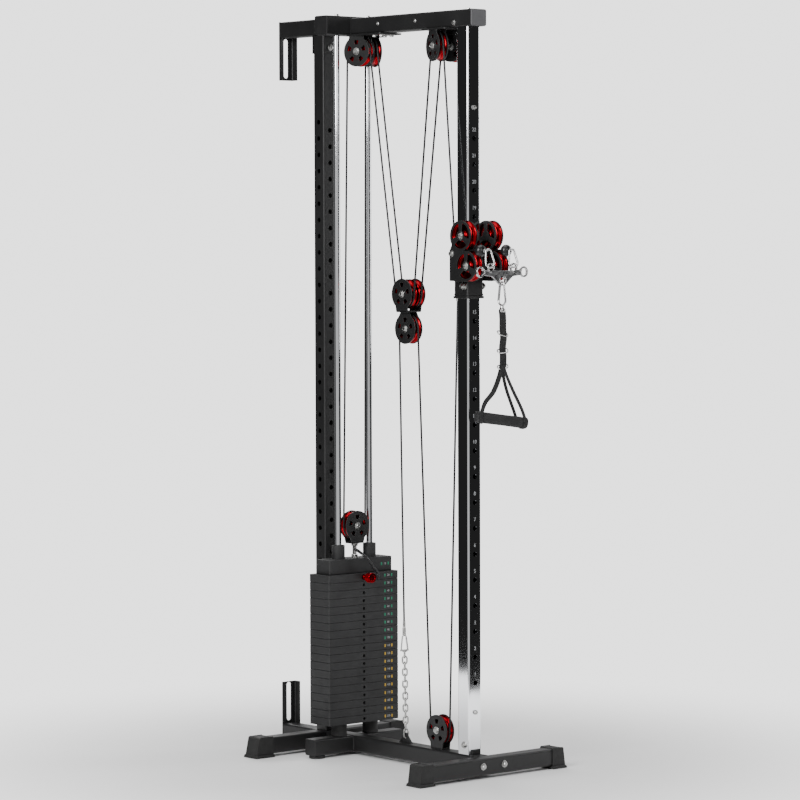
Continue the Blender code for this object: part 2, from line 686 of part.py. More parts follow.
def trolley():
    """Collar on the column with two cheeks each side, their axles and spacers."""
    low, high = COLLAR_Z
    bore = TUBE / 2 + COLLAR_PLAY
    outer = bore + COLLAR_WALL
    front = COLUMN_Y - outer
    body = box("trolley", (-outer, COLUMN_Y - outer, low), (outer, COLUMN_Y + outer, high), POWDER)
    lip = 0.003
    weld(body, box("lip", (-outer - lip, COLUMN_Y - outer - lip, low - 0.0005),
                   (outer + lip, COLUMN_Y + outer + lip, low + 0.007), POWDER))
    weld(body, rod("boss", (0, front + 0.001, POP_PIN_Z), (0, front - 0.018, POP_PIN_Z), 0.011,
                   POWDER, 12))
    weld(body, box("down_lug", (-0.004, COLUMN_Y + outer - 0.001, low + 0.012),
                   (0.004, DOWN_LUG_Y + 0.009, low + 0.040), POWDER))
    inner_face = TROLLEY_X - CHEEK_IN - CHEEK
    outer_face = TROLLEY_X + CHEEK_IN
    for sign in (-1, 1):
        for tag, near, far in (("in", outer - 0.0005, inner_face + CHEEK),
                               ("out", outer_face, outer_face + CHEEK)):
            frame = axes((sign * (near + far) / 2, 0, 0), (0, 1, 0), (0, 0, 1))
            windows_ = side_windows(TROLLEY_UP) + side_windows(TROLLEY_LOW)
            weld(body, plate(f"cheek_{tag}{sign}", side_outline(), windows_ if tag == "out" else [],
                             far - near, frame, POWDER))
        bars = [(TROLLEY_UP, AXLE_R), (TROLLEY_LOW, AXLE_R),
                ((COLUMN_Y + 0.002, 1.535), 0.005), ((COLUMN_Y + 0.002, 1.462), 0.005)]
        for number, ((y, z), radius) in enumerate(bars):
            weld(body, rod(f"bar{sign}{number}", (sign * (outer - 0.001), y, z),
                           (sign * (outer_face + CHEEK + 0.004), y, z), radius, POWDER, 8))
    cut(body, box("column_way", (-bore, COLUMN_Y - bore, low - 0.01),
                  (bore, COLUMN_Y + bore, high + 0.01), POWDER))
    return drill(body, [((0, front - 0.03, POP_PIN_Z), (0, COLUMN_Y - bore + 0.002, POP_PIN_Z))],
                 0.0055, 10)


def pop_pin():
    """Spring pin in the collar's boss, its tip just clear of the column, with a pull knob."""
    front = COLUMN_Y - TUBE / 2
    boss = front - COLLAR_PLAY - COLLAR_WALL - 0.018
    pin = rod("pop_pin", (0, front - GAP, POP_PIN_Z), (0, boss - 0.012, POP_PIN_Z), 0.005,
              CHROME, 10)
    knob = rod("pop_knob", (0, boss - GAP, POP_PIN_Z), (0, boss - 0.022, POP_PIN_Z), 0.0135,
               POWDER, 14)
    return weld(pin, knob)


trolley()
pop_pin()
for end, sign in (("left", -1), ("right", 1)):
    for level, (y, z) in (("upper", TROLLEY_UP), ("lower", TROLLEY_LOW)):
        sheave(f"trolley_{end}_{level}_pulley", (sign * TROLLEY_X, y, z), (1, 0, 0))


# ---------------------------------------------------------------- pull bar and handle
def pull_bar():
    """Flat bar with four rings along the top and one below a web."""
    frame = axes((0, BAR_Y, 0), (-1, 0, 0), (0, 0, 1))
    web = [(-0.078, 1.472), (-0.026, 1.470), (-0.009, 1.447), (0.009, 1.447), (0.026, 1.470),
           (0.078, 1.472), (0.078, 1.490), (0.052, 1.486), (-0.052, 1.486), (-0.078, 1.490)]
    body = plate("pull_bar", web, [], BAR_THICK, frame, CHROME)
    half = BAR_THICK / 2
    for number, (x, z, radius) in enumerate(BAR_RINGS):
        weld(body, rod(f"ring{number}", (x, BAR_Y - half - 0.0005, z), (x, BAR_Y + half + 0.0005, z),
                       radius, CHROME, 12))
    for x, z, radius in BAR_RINGS:
        drill(body, [((x, BAR_Y - 0.02, z), (x, BAR_Y + 0.02, z))], radius - RING_WIRE, 12)
    return body


def oval(centre, along, across, length, width, steps=5):
    """Closed stadium path, its long axis along and its short one across."""
    centre, along, across = Vector(centre), Vector(along).normalized(), Vector(across).normalized()
    straight = length / 2 - width / 2
    loop = arc((straight, 0), width / 2, -90, 90, steps) + arc((-straight, 0), width / 2, 90, 270, steps)
    return [centre + along * u + across * v for u, v in loop]


def snap_hook(name, top, bottom, width, shank):
    """Oval hook between two points in the depth plane, with a shank at its far end."""
    top, bottom = Vector(top), Vector(bottom)
    along = bottom - top
    across = Vector((1, 0, 0)).cross(along)
    hook = line_tube(name, oval((top + bottom) / 2, along, across, along.length, width),
                     WIRE_R, CHROME, closed=True)
    return weld(hook, rod(name + "_shank", shank[0], shank[1], 0.0035, CHROME, 10))


pull_bar()
for end, sign in (("left", -1), ("right", 1)):
    x = sign * 0.046
    _, ring_z, ring_r = BAR_RINGS[1]
    face = STOP_Y - STOP_R
    top = (x, face - 0.0135, EXIT_Z + 0.004)
    bottom = (x, BAR_Y - 0.0012, ring_z + 0.0025)
    snap_hook(f"{end}_snap_hook", top, bottom, 0.018,
              ((sign * TROLLEY_X, face - 0.0016, EXIT_Z), (x, face - 0.014, EXIT_Z + 0.003)))


def cable_end(name, sign):
    """Rubber stop on the cable's last stretch out of the trolley."""
    x = sign * TROLLEY_X
    stop = rod(name, (x, STOP_Y + 0.012, EXIT_Z), (x, STOP_Y - STOP_R, EXIT_Z), STOP_R, RUBBER, 14)
    edge = stop.modifiers.new("edges", "BEVEL")
    edge.width = 0.005
    edge.segments = 1
    lead = rod(name + "_lead", (x, TROLLEY_UP[0] - 0.012, EXIT_Z), (x, STOP_Y, EXIT_Z), CABLE_R,
               CABLE, 8)
    return weld(stop, lead)


for end, sign in (("left", -1), ("right", 1)):
    cable_end(f"{end}_cable_end", sign)

_, ring_z, ring_r = BAR_RINGS[2]
hook_top = (0, BAR_Y, ring_z - ring_r + RING_WIRE + WIRE_R + 0.003)
hook_low = (0, BAR_Y, 1.379)
snap_hook("handle_snap_hook", hook_top, hook_low, 0.028,
          ((0, BAR_Y, hook_low[2] + 0.001), (0, BAR_Y, 1.369)))

grip_along = Vector((cos(radians(20)) * cos(radians(8)), -sin(radians(20)) * cos(radians(8)),
                     -sin(radians(8))))
grip_mid = Vector((-0.004, BAR_Y, GRIP_Z))
grip_ends = [grip_mid - grip_along * GRIP_LONG / 2, grip_mid + grip_along * GRIP_LONG / 2]
rod("handle_grip", grip_ends[0], grip_ends[1], GRIP_R, FOAM, 16)


def handle_strap():
    """Webbing from the hook down to a fork whose legs end in plugs beside the grip."""
    level = Vector((grip_along.x, grip_along.y, 0)).normalized()
    flat = axes((0, BAR_Y, 0), level, (0, 0, 1))
    half = STRAP_THICK / 2
    top = hook_low[2] - 0.0105
    stem = plate("handle_strap", [(-half, STRAP_SPLIT_Z - 0.004), (half, STRAP_SPLIT_Z - 0.004),
                                  (half, top), (-half, top)], [], STRAP_WIDE, flat, WEBBING)
    for number, sign in enumerate((-1, 1)):
        end = grip_ends[number]
        stop = end + grip_along * sign * 0.014
        foot = Vector(((stop - Vector((0, BAR_Y, 0))).dot(level), stop.z))
        start = Vector((0, STRAP_SPLIT_Z))
        side = (foot - start).normalized().orthogonal() * half
        leg = [start + side, start - side, foot - side, foot + side]
        weld(stem, plate(f"leg{number}", leg, [], STRAP_WIDE, flat, WEBBING))
        weld(stem, rod(f"plug{number}", end + grip_along * sign * GAP,
                       end + grip_along * sign * 0.016, GRIP_R, WEBBING, 12))
    return stem


handle_strap()


# ---------------------------------------------------------------- cables and chain
def wrap(centre, across, start, end, step=22.5):
    """Arc of the cable round a sheave. Angles in degrees, from the across direction up to +Z."""
    centre, across = Vector(centre), Vector(across).normalized()
    count = max(1, ceil(abs(end - start) / step))
    angles = [radians(start + (end - start) * i / count) for i in range(count + 1)]
    return [centre + CABLE_TRACK * (across * cos(a) + Vector((0, 0, 1)) * sin(a)) for a in angles]


for end, sign in (("left", -1), ("right", 1)):
    rear = (sign * REAR_TOP[0], REAR_TOP[1], TOP_AXLE_Z)
    front = (sign * FRONT_TOP[0], FRONT_TOP[1], TOP_AXLE_Z)
    rear_out = Vector((sign * sin(REAR_SPLAY), cos(REAR_SPLAY), 0))
    front_in = Vector((-sign * sin(FRONT_SPLAY), cos(FRONT_SPLAY), 0))
    depth = Vector((0, 1, 0))
    block = (sign * BLOCK_X, BLOCK_Y, BLOCK_Z[1])
    lead = 8
    lift = wrap(rear, rear_out, 92, 180 + lead)
    lift += wrap(block, depth, lead, -180 - lead)
    lift += wrap(front, front_in, -lead, 88)
    line_tube(f"{end}_lift_cable", lift, CABLE_R, CABLE)
    drop = wrap(front, front_in, 92, 180 + 6)
    drop += wrap((sign * TROLLEY_X, *TROLLEY_UP), depth, 6, -86)
    line_tube(f"{end}_trolley_cable", drop, CABLE_R, CABLE)

rear_left = (-REAR_TOP[0], REAR_TOP[1], TOP_AXLE_Z)
rear_right = (REAR_TOP[0], REAR_TOP[1], TOP_AXLE_Z)
stack_run = wrap(rear_left, (-sin(REAR_SPLAY), cos(REAR_SPLAY), 0), 88, 0)
stack_run += wrap((0, STACK_SHEAVE_Y, STACK_SHEAVE_Z), (1, 0, 0), 180, 360)
stack_run += wrap(rear_right, (sin(REAR_SPLAY), cos(REAR_SPLAY), 0), 0, 88)
line_tube("stack_cable", stack_run, CABLE_R, CABLE)

low_centre = (0, *LOW_SHEAVE)
down = [Vector((0, DOWN_LUG_Y, COLLAR_Z[0] + 0.011))]
down += wrap(low_centre, (0, 1, 0), 180, 268)
line_tube("trolley_down_cable", down, CABLE_R, CABLE)
counter = wrap(low_centre, (0, 1, 0), 272, 360)
counter += wrap((0, BLOCK_Y, BLOCK_Z[0]), (0, 1, 0), 180, 0)
counter += [Vector((0, *CHAIN_TOP))]
line_tube("counter_cable", counter, CABLE_R, CABLE)

links = 12
chain_low, chain_high = LUG_TOP + 0.001, CHAIN_TOP[1] - 0.001
pitch = (chain_high - chain_low) / links
beads = [(0.0, chain_high - chain_low)]
for k in range(links):
    z = chain_high - chain_low - pitch * k
    beads += [(0.0055, z - 0.2 * pitch), (0.0055, z - 0.8 * pitch), (0.003, z - pitch)]
beads[-1] = (0.0, 0.0)
chain = turned("anchor_chain", beads, CHROME, 6, closed=False)
chain_lean = atan2(CHAIN_TOP[0] - CHAIN_Y, chain_high - chain_low)
chain.matrix_world = Matrix.Translation((0, CHAIN_Y, chain_low)) @ Matrix.Rotation(-chain_lean, 4, "X")

# The handle hangs from the lowest ring and swings about it.
pivot = bpy.data.objects.new("handle_axis", None)
pivot.location = (0, BAR_Y, ring_z - ring_r + RING_WIRE / 2)
parts.objects.link(pivot)
for name in ("handle_snap_hook", "handle_strap", "handle_grip"):
    piece = bpy.data.objects[name]
    piece.parent = pivot
    piece.matrix_parent_inverse = Matrix.Translation(-pivot.location)

# EXACT leaves a face out where many bars meet plates, and MANIFOLD does not.
for name in ("trolley", "floating_block", "rear_top_bracket", "front_top_bracket"):
    for step in bpy.data.objects[name].modifiers:
        step.solver = "MANIFOLD"

for obj in parts.objects:
    if obj.type != "MESH":
        continue
    obj.data.shade_smooth()
    if obj.data.polygons:
        obj.data.set_sharp_from_angle(angle=radians(35))
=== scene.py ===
from math import ceil, cos, pi, radians, sin

import bmesh
import bpy
from mathutils import Matrix, Vector


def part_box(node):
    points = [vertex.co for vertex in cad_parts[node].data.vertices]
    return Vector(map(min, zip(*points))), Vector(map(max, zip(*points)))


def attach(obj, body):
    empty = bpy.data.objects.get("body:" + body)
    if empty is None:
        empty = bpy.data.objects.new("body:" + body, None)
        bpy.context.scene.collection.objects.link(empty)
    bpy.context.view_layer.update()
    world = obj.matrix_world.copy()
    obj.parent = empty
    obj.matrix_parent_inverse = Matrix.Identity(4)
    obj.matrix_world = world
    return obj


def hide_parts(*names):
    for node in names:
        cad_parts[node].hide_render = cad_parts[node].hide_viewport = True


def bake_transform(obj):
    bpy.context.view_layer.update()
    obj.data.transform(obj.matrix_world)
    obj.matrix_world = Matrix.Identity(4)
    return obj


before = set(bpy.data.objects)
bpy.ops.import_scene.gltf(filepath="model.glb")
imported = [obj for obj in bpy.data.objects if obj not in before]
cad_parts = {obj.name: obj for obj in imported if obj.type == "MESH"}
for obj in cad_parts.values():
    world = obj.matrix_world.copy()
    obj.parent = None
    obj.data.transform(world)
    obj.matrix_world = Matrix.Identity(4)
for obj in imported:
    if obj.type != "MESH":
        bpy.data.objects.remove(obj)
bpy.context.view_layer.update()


# ---------------------------------------------------------------- the room
# A pale seamless floor under soft box lights. The polished column and rods mirror the room, so
# the room has two dark flags that only reflections see, as a product set has.

camera = bpy.data.cameras.new("camera")
camera.lens = 150.39
camera.sensor_width = 36
camera.clip_end = 60
viewpoint = bpy.data.objects.new("camera", camera)
viewpoint.location = (-6.5525, -7.6464, 1.5745)
viewpoint.rotation_euler = (Matrix.Rotation(radians(-40.680), 3, "Z")
                            @ Matrix.Rotation(radians(90 - 2.735), 3, "X")
                            @ Matrix.Rotation(radians(-0.176), 3, "Z")).to_euler()
bpy.context.scene.collection.objects.link(viewpoint)
bpy.context.scene.camera = viewpoint


class Look:
    """A Principled material and the few nodes that every finish here is built from."""

    def __init__(self, name, colour, roughness, metallic=0.0):
        self.material = bpy.data.materials.new(name)
        self.material.use_nodes = True
        self.nodes = self.material.node_tree.nodes
        self.links = self.material.node_tree.links
        self.shader = self.nodes["Principled BSDF"]
        self.set("Base Color", (*colour, 1))
        self.set("Roughness", roughness)
        self.set("Metallic", metallic)
        self.place = self.nodes.new("ShaderNodeTexCoord").outputs["Object"]
        self.height = None

    def set(self, socket, value):
        self.shader.inputs[socket].default_value = value
        return self

    def stretched(self, scale):
        """Object coordinates, stretched by a scale on each axis."""
        node = self.nodes.new("ShaderNodeMapping")
        node.inputs["Scale"].default_value = scale
        self.links.new(self.place, node.inputs["Vector"])
        return node.outputs["Vector"]

    def noise(self, scale, detail=3.0, rough=0.55, stretch=(1, 1, 1)):
        node = self.nodes.new("ShaderNodeTexNoise")
        node.inputs["Scale"].default_value = scale
        node.inputs["Detail"].default_value = detail
        node.inputs["Roughness"].default_value = rough
        self.links.new(self.stretched(stretch), node.inputs["Vector"])
        return node.outputs["Fac"]

    def wave(self, scale, stretch=(1, 1, 1), kind="BANDS", way="X", distortion=0.0):
        node = self.nodes.new("ShaderNodeTexWave")
        node.wave_type = kind
        if kind == "BANDS":
            node.bands_direction = way
        else:
            node.rings_direction = way
        node.inputs["Scale"].default_value = scale
        node.inputs["Distortion"].default_value = distortion
        self.links.new(self.stretched(stretch), node.inputs["Vector"])
        return node.outputs["Fac"]

    def ranged(self, value, low, high, into_low=0.0, into_high=1.0):
        node = self.nodes.new("ShaderNodeMapRange")
        for socket, number in (("From Min", low), ("From Max", high),
                               ("To Min", into_low), ("To Max", into_high)):
            node.inputs[socket].default_value = number
        self.links.new(value, node.inputs["Value"])
        return node.outputs["Result"]

    def rough(self, value, low, high):
        """Roughness that drifts between two values."""
        self.links.new(self.ranged(value, 0.3, 0.7, low, high), self.shader.inputs["Roughness"])
        return self

    def tint(self, value, first, second, low=0.35, high=0.65):
        """Base colour that drifts between two colours."""
        node = self.nodes.new("ShaderNodeMix")
        node.data_type = "RGBA"
        node.inputs["A"].default_value = (*first, 1)
        node.inputs["B"].default_value = (*second, 1)
        self.links.new(self.ranged(value, low, high), node.inputs["Factor"])
        self.links.new(node.outputs["Result"], self.shader.inputs["Base Color"])
        return self

    def relief(self, value, depth, strength=1.0):
        """Bump, stacked on any bump that is already there. Depth is in metres."""
        node = self.nodes.new("ShaderNodeBump")
        node.inputs["Distance"].default_value = depth
        node.inputs["Strength"].default_value = strength
        self.links.new(value, node.inputs["Height"])
        if self.height:
            self.links.new(self.height, node.inputs["Normal"])
        self.height = node.outputs["Normal"]
        self.links.new(self.height, self.shader.inputs["Normal"])
        return self


PAPER_WHITE = 2.4       # glow of the backdrop, and of the floor where it meets it
FLOOR_R = 2.1

floor_look = Look("seamless_floor", (0.86, 0.86, 0.86), 0.6)
floor_look.rough(floor_look.noise(3.0), 0.55, 0.65)
floor_nodes, floor_links = floor_look.nodes, floor_look.links
from_middle = floor_nodes.new("ShaderNodeVectorMath")
from_middle.operation = "LENGTH"
floor_links.new(floor_look.place, from_middle.inputs[0])
fade = floor_nodes.new("ShaderNodeMapRange")
fade.interpolation_type = "SMOOTHSTEP"
fade.inputs["From Min"].default_value = 0.5
fade.inputs["From Max"].default_value = FLOOR_R - 0.1
floor_links.new(from_middle.outputs["Value"], fade.inputs["Value"])
paper = floor_nodes.new("ShaderNodeEmission")
paper.inputs["Strength"].default_value = PAPER_WHITE
blended = floor_nodes.new("ShaderNodeMixShader")
floor_links.new(fade.outputs["Result"], blended.inputs["Fac"])
floor_links.new(floor_look.shader.outputs[0], blended.inputs[1])
floor_links.new(paper.outputs[0], blended.inputs[2])
floor_links.new(blended.outputs[0], floor_nodes["Material Output"].inputs["Surface"])
sweep_mesh = bmesh.new()
bmesh.ops.create_circle(sweep_mesh, cap_ends=True, segments=96, radius=FLOOR_R)
floor_data = bpy.data.meshes.new("floor")
sweep_mesh.to_mesh(floor_data)
floor_data.materials.append(floor_look.material)
floor = bpy.data.objects.new("floor", floor_data)
floor.location.z = -0.0005
bpy.context.scene.collection.objects.link(floor)


def soft_box(name, at, towards, size, power):
    """A rectangular lamp aimed at a point of the machine."""
    data = bpy.data.lights.new(name, "AREA")
    data.shape = "RECTANGLE"
    data.size, data.size_y = size
    data.energy = power
    lamp = bpy.data.objects.new(name, data)
    lamp.location = at
    lamp.rotation_euler = (Vector(towards) - Vector(at)).to_track_quat("-Z", "Y").to_euler()
    bpy.context.scene.collection.objects.link(lamp)
    return lamp


soft_box("key_box", (-5.2, -1.8, 3.6), (0, 0, 1.2), (2.6, 3.2), 300)
soft_box("front_box", (-0.6, -6.0, 3.4), (0, 0, 1.3), (2.2, 2.6), 55)
soft_box("right_box", (4.6, -2.2, 2.6), (0, 0, 1.2), (1.2, 3.2), 80)
soft_box("back_box", (1.8, 5.0, 3.6), (0, 0, 1.2), (2.6, 2.6), 110)
soft_box("top_box", (0, 0, 5.4), (0, 0, 0), (3.4, 3.4), 95)

world = bpy.data.worlds.new("studio")
world.use_nodes = True
bpy.context.scene.world = world
air = world.node_tree
air.nodes.clear()


def air_node(kind, **values):
    node = air.nodes.new(kind)
    for socket, value in values.items():
        node.inputs[socket].default_value = value
    return node


def flag(direction, wide, soft):
    """1 where a ray heads towards a dark flag, 0 elsewhere."""
    dot = air_node("ShaderNodeVectorMath")
    dot.operation = "DOT_PRODUCT"
    dot.inputs[1].default_value = direction
    air.links.new(level.outputs[0], dot.inputs[0])
    band = air_node("ShaderNodeMapRange", **{"From Min": cos(radians(wide + soft)),
                                             "From Max": cos(radians(wide))})
    band.interpolation_type = "SMOOTHSTEP"
    air.links.new(dot.outputs["Value"], band.inputs["Value"])
    return band.outputs["Result"]


ways = air_node("ShaderNodeTexCoord")
flat_way = air_node("ShaderNodeVectorMath")
flat_way.operation = "MULTIPLY"
flat_way.inputs[1].default_value = (1, 1, 0)
air.links.new(ways.outputs["Generated"], flat_way.inputs[0])
level = air_node("ShaderNodeVectorMath")
level.operation = "NORMALIZE"
air.links.new(flat_way.outputs[0], level.inputs[0])
both = air_node("ShaderNodeMath")
both.operation = "MAXIMUM"
air.links.new(flag((0.66, -0.75, 0), 32, 9), both.inputs[0])
air.links.new(flag((-0.60, 0.80, 0), 24, 14), both.inputs[1])
shade = air_node("ShaderNodeMapRange", **{"To Min": 0.62, "To Max": 0.02})
air.links.new(both.outputs[0], shade.inputs["Value"])
seen = air_node("ShaderNodeLightPath")
pick = air_node("ShaderNodeMix")
pick.data_type = "FLOAT"
pick.inputs["B"].default_value = PAPER_WHITE
air.links.new(seen.outputs["Is Camera Ray"], pick.inputs["Factor"])
air.links.new(shade.outputs["Result"], pick.inputs["A"])
sky = air_node("ShaderNodeBackground", Color=(1, 1, 1, 1))
air.links.new(pick.outputs["Result"], sky.inputs["Strength"])
air_out = air_node("ShaderNodeOutputWorld")
air.links.new(sky.outputs[0], air_out.inputs[0])


# ---------------------------------------------------------------- base frame
# Three lengths of 50 mm square steel tube, 2.5 mm thick, welded into one base: the main beam and
# a stub to each side that carries the stack. A drilled lug for the chain stands on the beam.
# Everything black is powder coated, with a fine orange peel and a slightly softer gloss at wear.

WALL = 0.0025
TUBE_CORNER = 0.006

powder = Look("black_powder_coat", (0.011, 0.011, 0.0113), 0.42, 0.0)
powder.set("Specular IOR Level", 0.45)
powder.rough(powder.noise(9.0, 4.0), 0.36, 0.50)
powder.tint(powder.noise(2.2, 4.0), (0.009, 0.009, 0.0093), (0.014, 0.014, 0.0143))
powder.relief(powder.noise(420.0, 2.0), 0.00025, 0.35)
powder.relief(powder.noise(70.0, 1.0), 0.0004, 0.12)
powder = powder.material

weld_look = Look("coated_weld", (0.011, 0.011, 0.0113), 0.5)
weld_look.relief(weld_look.noise(260.0, 2.0), 0.0004, 0.5)
weld_look = weld_look.material


plug_look = Look("moulded_plug", (0.010, 0.010, 0.0105), 0.55)
plug_look.rough(plug_look.noise(60.0), 0.45, 0.6)
plug_look.relief(plug_look.noise(500.0, 2.0), 0.0002, 0.4)
plug_look = plug_look.material


def crease(form, smooth=35.0):
    """Shade smooth, but keep edges hard where they are steep or border a much larger flat."""
    for face in form.faces:
        face.smooth = True
    for edge in form.edges:
        if len(edge.link_faces) != 2:
            continue
        turn = edge.calc_face_angle(0.0)
        areas = sorted(face.calc_area() for face in edge.link_faces)
        edge.smooth = turn < radians(smooth) and (turn < radians(2) or areas[1] < 12 * areas[0])


def object_from(name, form, look, smooth=35.0):
    """A mesh object in the scene from a bmesh."""
    bmesh.ops.recalc_face_normals(form, faces=form.faces)
    crease(form, smooth)
    data = bpy.data.meshes.new(name)
    form.to_mesh(data)
    form.free()
    data.materials.append(look)
    made = bpy.data.objects.new(name, data)
    bpy.context.scene.collection.objects.link(made)
    return made


def settle(made):
    """Bake an object's modifiers into its own mesh."""
    bpy.context.view_layer.update()
    graph = bpy.context.evaluated_depsgraph_get()
    data = bpy.data.meshes.new_from_object(made.evaluated_get(graph))
    old = made.data
    made.modifiers.clear()
    made.data = data
    bpy.data.meshes.remove(old)
    return made


def merged(name, pieces):
    """Put several objects' meshes into one object, keeping where they are and their looks."""
    bpy.context.view_layer.update()
    form, looks = bmesh.new(), []
    for piece in pieces:
        part = piece.data.copy()
        part.transform(piece.matrix_world)
        for look in part.materials:
            if look not in looks:
                looks.append(look)
        slots = [looks.index(look) for look in part.materials]
        start = len(form.faces)
        form.from_mesh(part)
        form.faces.ensure_lookup_table()
        for face in form.faces[start:]:
            face.material_index = slots[min(face.material_index, len(slots) - 1)]
        bpy.data.meshes.remove(part)
    data = bpy.data.meshes.new(name)
    form.to_mesh(data)
    form.free()
    for look in looks:
        data.materials.append(look)
    whole = bpy.data.objects.new(name, data)
    bpy.context.scene.collection.objects.link(whole)
    for piece in pieces:
        bpy.data.objects.remove(piece, do_unlink=True)
    return whole


def fit(made, body, finish, *stands_for):
    """Put a finished piece on its body, in place of the plain solids it stands for."""
    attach(made, body)
    if stands_for:
        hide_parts(*stands_for)
    return made


def arc(centre, radius, start, end, steps):
    angles = [radians(start + (end - start) * i / steps) for i in range(steps + 1)]
    return [(centre[0] + radius * cos(a), centre[1] + radius * sin(a)) for a in angles]


def round_box(wide, tall, corner, steps=6):
    """Outline of a rectangle with round corners, about its own middle."""
    loop = []
    for sx, sy, start in ((1, 1, 0), (-1, 1, 90), (-1, -1, 180), (1, -1, 270)):
        middle = (sx * (wide / 2 - corner), sy * (tall / 2 - corner))
        loop += arc(middle, corner, start, start + 90, steps)
    return loop


def axes(origin, across, up):
    across, up = Vector(across).normalized(), Vector(up).normalized()
    turn = Matrix((across, up, across.cross(up))).transposed().to_4x4()
    return Matrix.Translation(origin) @ turn


def slab(name, outline, openings, thick, where, look, edge=0.0, edge_steps=1):
    """Flat stock: an outline with openings, softened edges, centred on a frame's XY plane."""
    data = bpy.data.curves.new(name, "CURVE")
    data.dimensions = "2D"
    data.fill_mode = "BOTH"
    data.extrude = thick / 2 - edge
    data.bevel_depth = edge
    data.bevel_resolution = edge_steps
    data.offset = -edge
    for loop in (outline, *openings):
        spline = data.splines.new("POLY")
        spline.points.add(len(loop) - 1)
        for point, (u, v) in zip(spline.points, loop):
            point.co = (u, v, 0, 1)
        spline.use_cyclic_u = True
    drawn = bpy.data.objects.new(name, data)
    bpy.context.scene.collection.objects.link(drawn)
    bpy.context.view_layer.update()
    graph = bpy.context.evaluated_depsgraph_get()
    flat = bpy.data.meshes.new_from_object(drawn.evaluated_get(graph))
    bpy.data.objects.remove(drawn, do_unlink=True)
    bpy.data.curves.remove(data)
    form = bmesh.new()
    form.from_mesh(flat)
    bpy.data.meshes.remove(flat)
    bmesh.ops.remove_doubles(form, verts=form.verts, dist=1e-6)
    form.transform(where)
    return object_from(name, form, look)


def drilled(made, ends, radius, sides=20):
    """Cut round holes between pairs of points through a piece."""
    form = bmesh.new()
    for start, end in ends:
        start, end = Vector(start), Vector(end)
        turn = (end - start).to_track_quat("Z", "Y").to_matrix().to_4x4()
        bmesh.ops.create_cone(form, cap_ends=True, segments=sides, radius1=radius, radius2=radius,
                              depth=(end - start).length,
                              matrix=Matrix.Translation((start + end) / 2) @ turn)
    cutter = object_from(made.name + "_drill", form, made.data.materials[0])
    step = made.modifiers.new("drill", "BOOLEAN")
    step.object = cutter
    step.operation = "DIFFERENCE"
    settle(made)
    bpy.data.objects.remove(cutter, do_unlink=True)
    form = bmesh.new()
    form.from_mesh(made.data)
    crease(form)
    form.to_mesh(made.data)
    form.free()
    return made


def square_tube(name, start, end, size, look, across=(1, 0, 0)):
    """A length of rectangular tube with round corners."""
    start, end = Vector(start), Vector(end)
    up = (end - start).normalized().cross(Vector(across))
    inner = round_box(size[0] - 2 * WALL, size[1] - 2 * WALL, TUBE_CORNER - WALL, 4)
    return slab(name, round_box(*size, TUBE_CORNER, 8), [inner], (end - start).length,
                axes((start + end) / 2, across, up), look, 0.0004)


def sweep(name, path, section, look, closed=False, up=None, smooth=40.0):
    """Draw a section along a path of points. With up set, the section's second axis keeps to it."""
    path = [Vector(p) for p in path]
    count = len(path)
    form = bmesh.new()
    rings = []
    side = None
    for i, point in enumerate(path):
        before = path[i - 1] if (i or closed) else point
        after = path[(i + 1) % count] if (i < count - 1 or closed) else point
        along = (after - before).normalized()
        if up is not None:
            lift = Vector(up[i] if isinstance(up, list) else up)
            side = along.cross(lift).normalized()
        elif side is None:
            side = along.orthogonal().normalized()
        else:
            side = (side - along * side.dot(along)).normalized()
        rise = side.cross(along)
        rings.append([form.verts.new(point + side * a + rise * b) for a, b in section])
    steps = range(count) if closed else range(count - 1)
    ring_size = len(section)
    for i in steps:
        first, second = rings[i], rings[(i + 1) % count]
        shift = 0
        if closed and i == count - 1:
            shift = min(range(ring_size), key=lambda k: (first[0].co - second[k].co).length)
        for k in range(ring_size):
            form.faces.new((first[k], first[(k + 1) % ring_size],
                            second[(k + 1 + shift) % ring_size], second[(k + shift) % ring_size]))
    if not closed:
        form.faces.new(rings[0])
        form.faces.new(rings[-1])
    return object_from(name, form, look, smooth)


def round_section(radius, sides=12):
    return [(radius * cos(2 * pi * k / sides), radius * sin(2 * pi * k / sides))
            for k in range(sides)]


def eased(points, steps=6, closed=False):
    """A smooth line through a few points."""
    points = [Vector(p) for p in points]
    count = len(points)
    line = []
    for i in range(count if closed else count - 1):
        if closed:
            a, b, c, d = (points[(i + k - 1) % count] for k in range(4))
        else:
            a, b, c, d = points[max(i - 1, 0)], points[i], points[i + 1], points[min(i + 2, count - 1)]
        for k in range(steps):
            t = k / steps
            line.append(0.5 * ((2 * b) + (c - a) * t + (2 * a - 5 * b + 4 * c - d) * t * t
                               + (3 * b - a - 3 * c + d) * t ** 3))
    if not closed:
        line.append(points[-1])
    return line


def weld_bead(name, start, end, radius=0.0022):
    """A rippled fillet weld between two points."""
    start, end = Vector(start), Vector(end)
    count = max(4, int((end - start).length / 0.0016))
    path = [start.lerp(end, i / count) for i in range(count + 1)]
    bead = sweep(name, path, round_section(radius, 8), weld_look)
    for i, corner in enumerate(bead.data.vertices):
        ring = i // 8
        middle = path[min(ring, count)]
        swell = 1.0 + 0.14 * sin(ring * 2.1)
        if ring in (0, count):
            swell = 0.4
        corner.co = middle + (corner.co - middle) * swell
    return bead


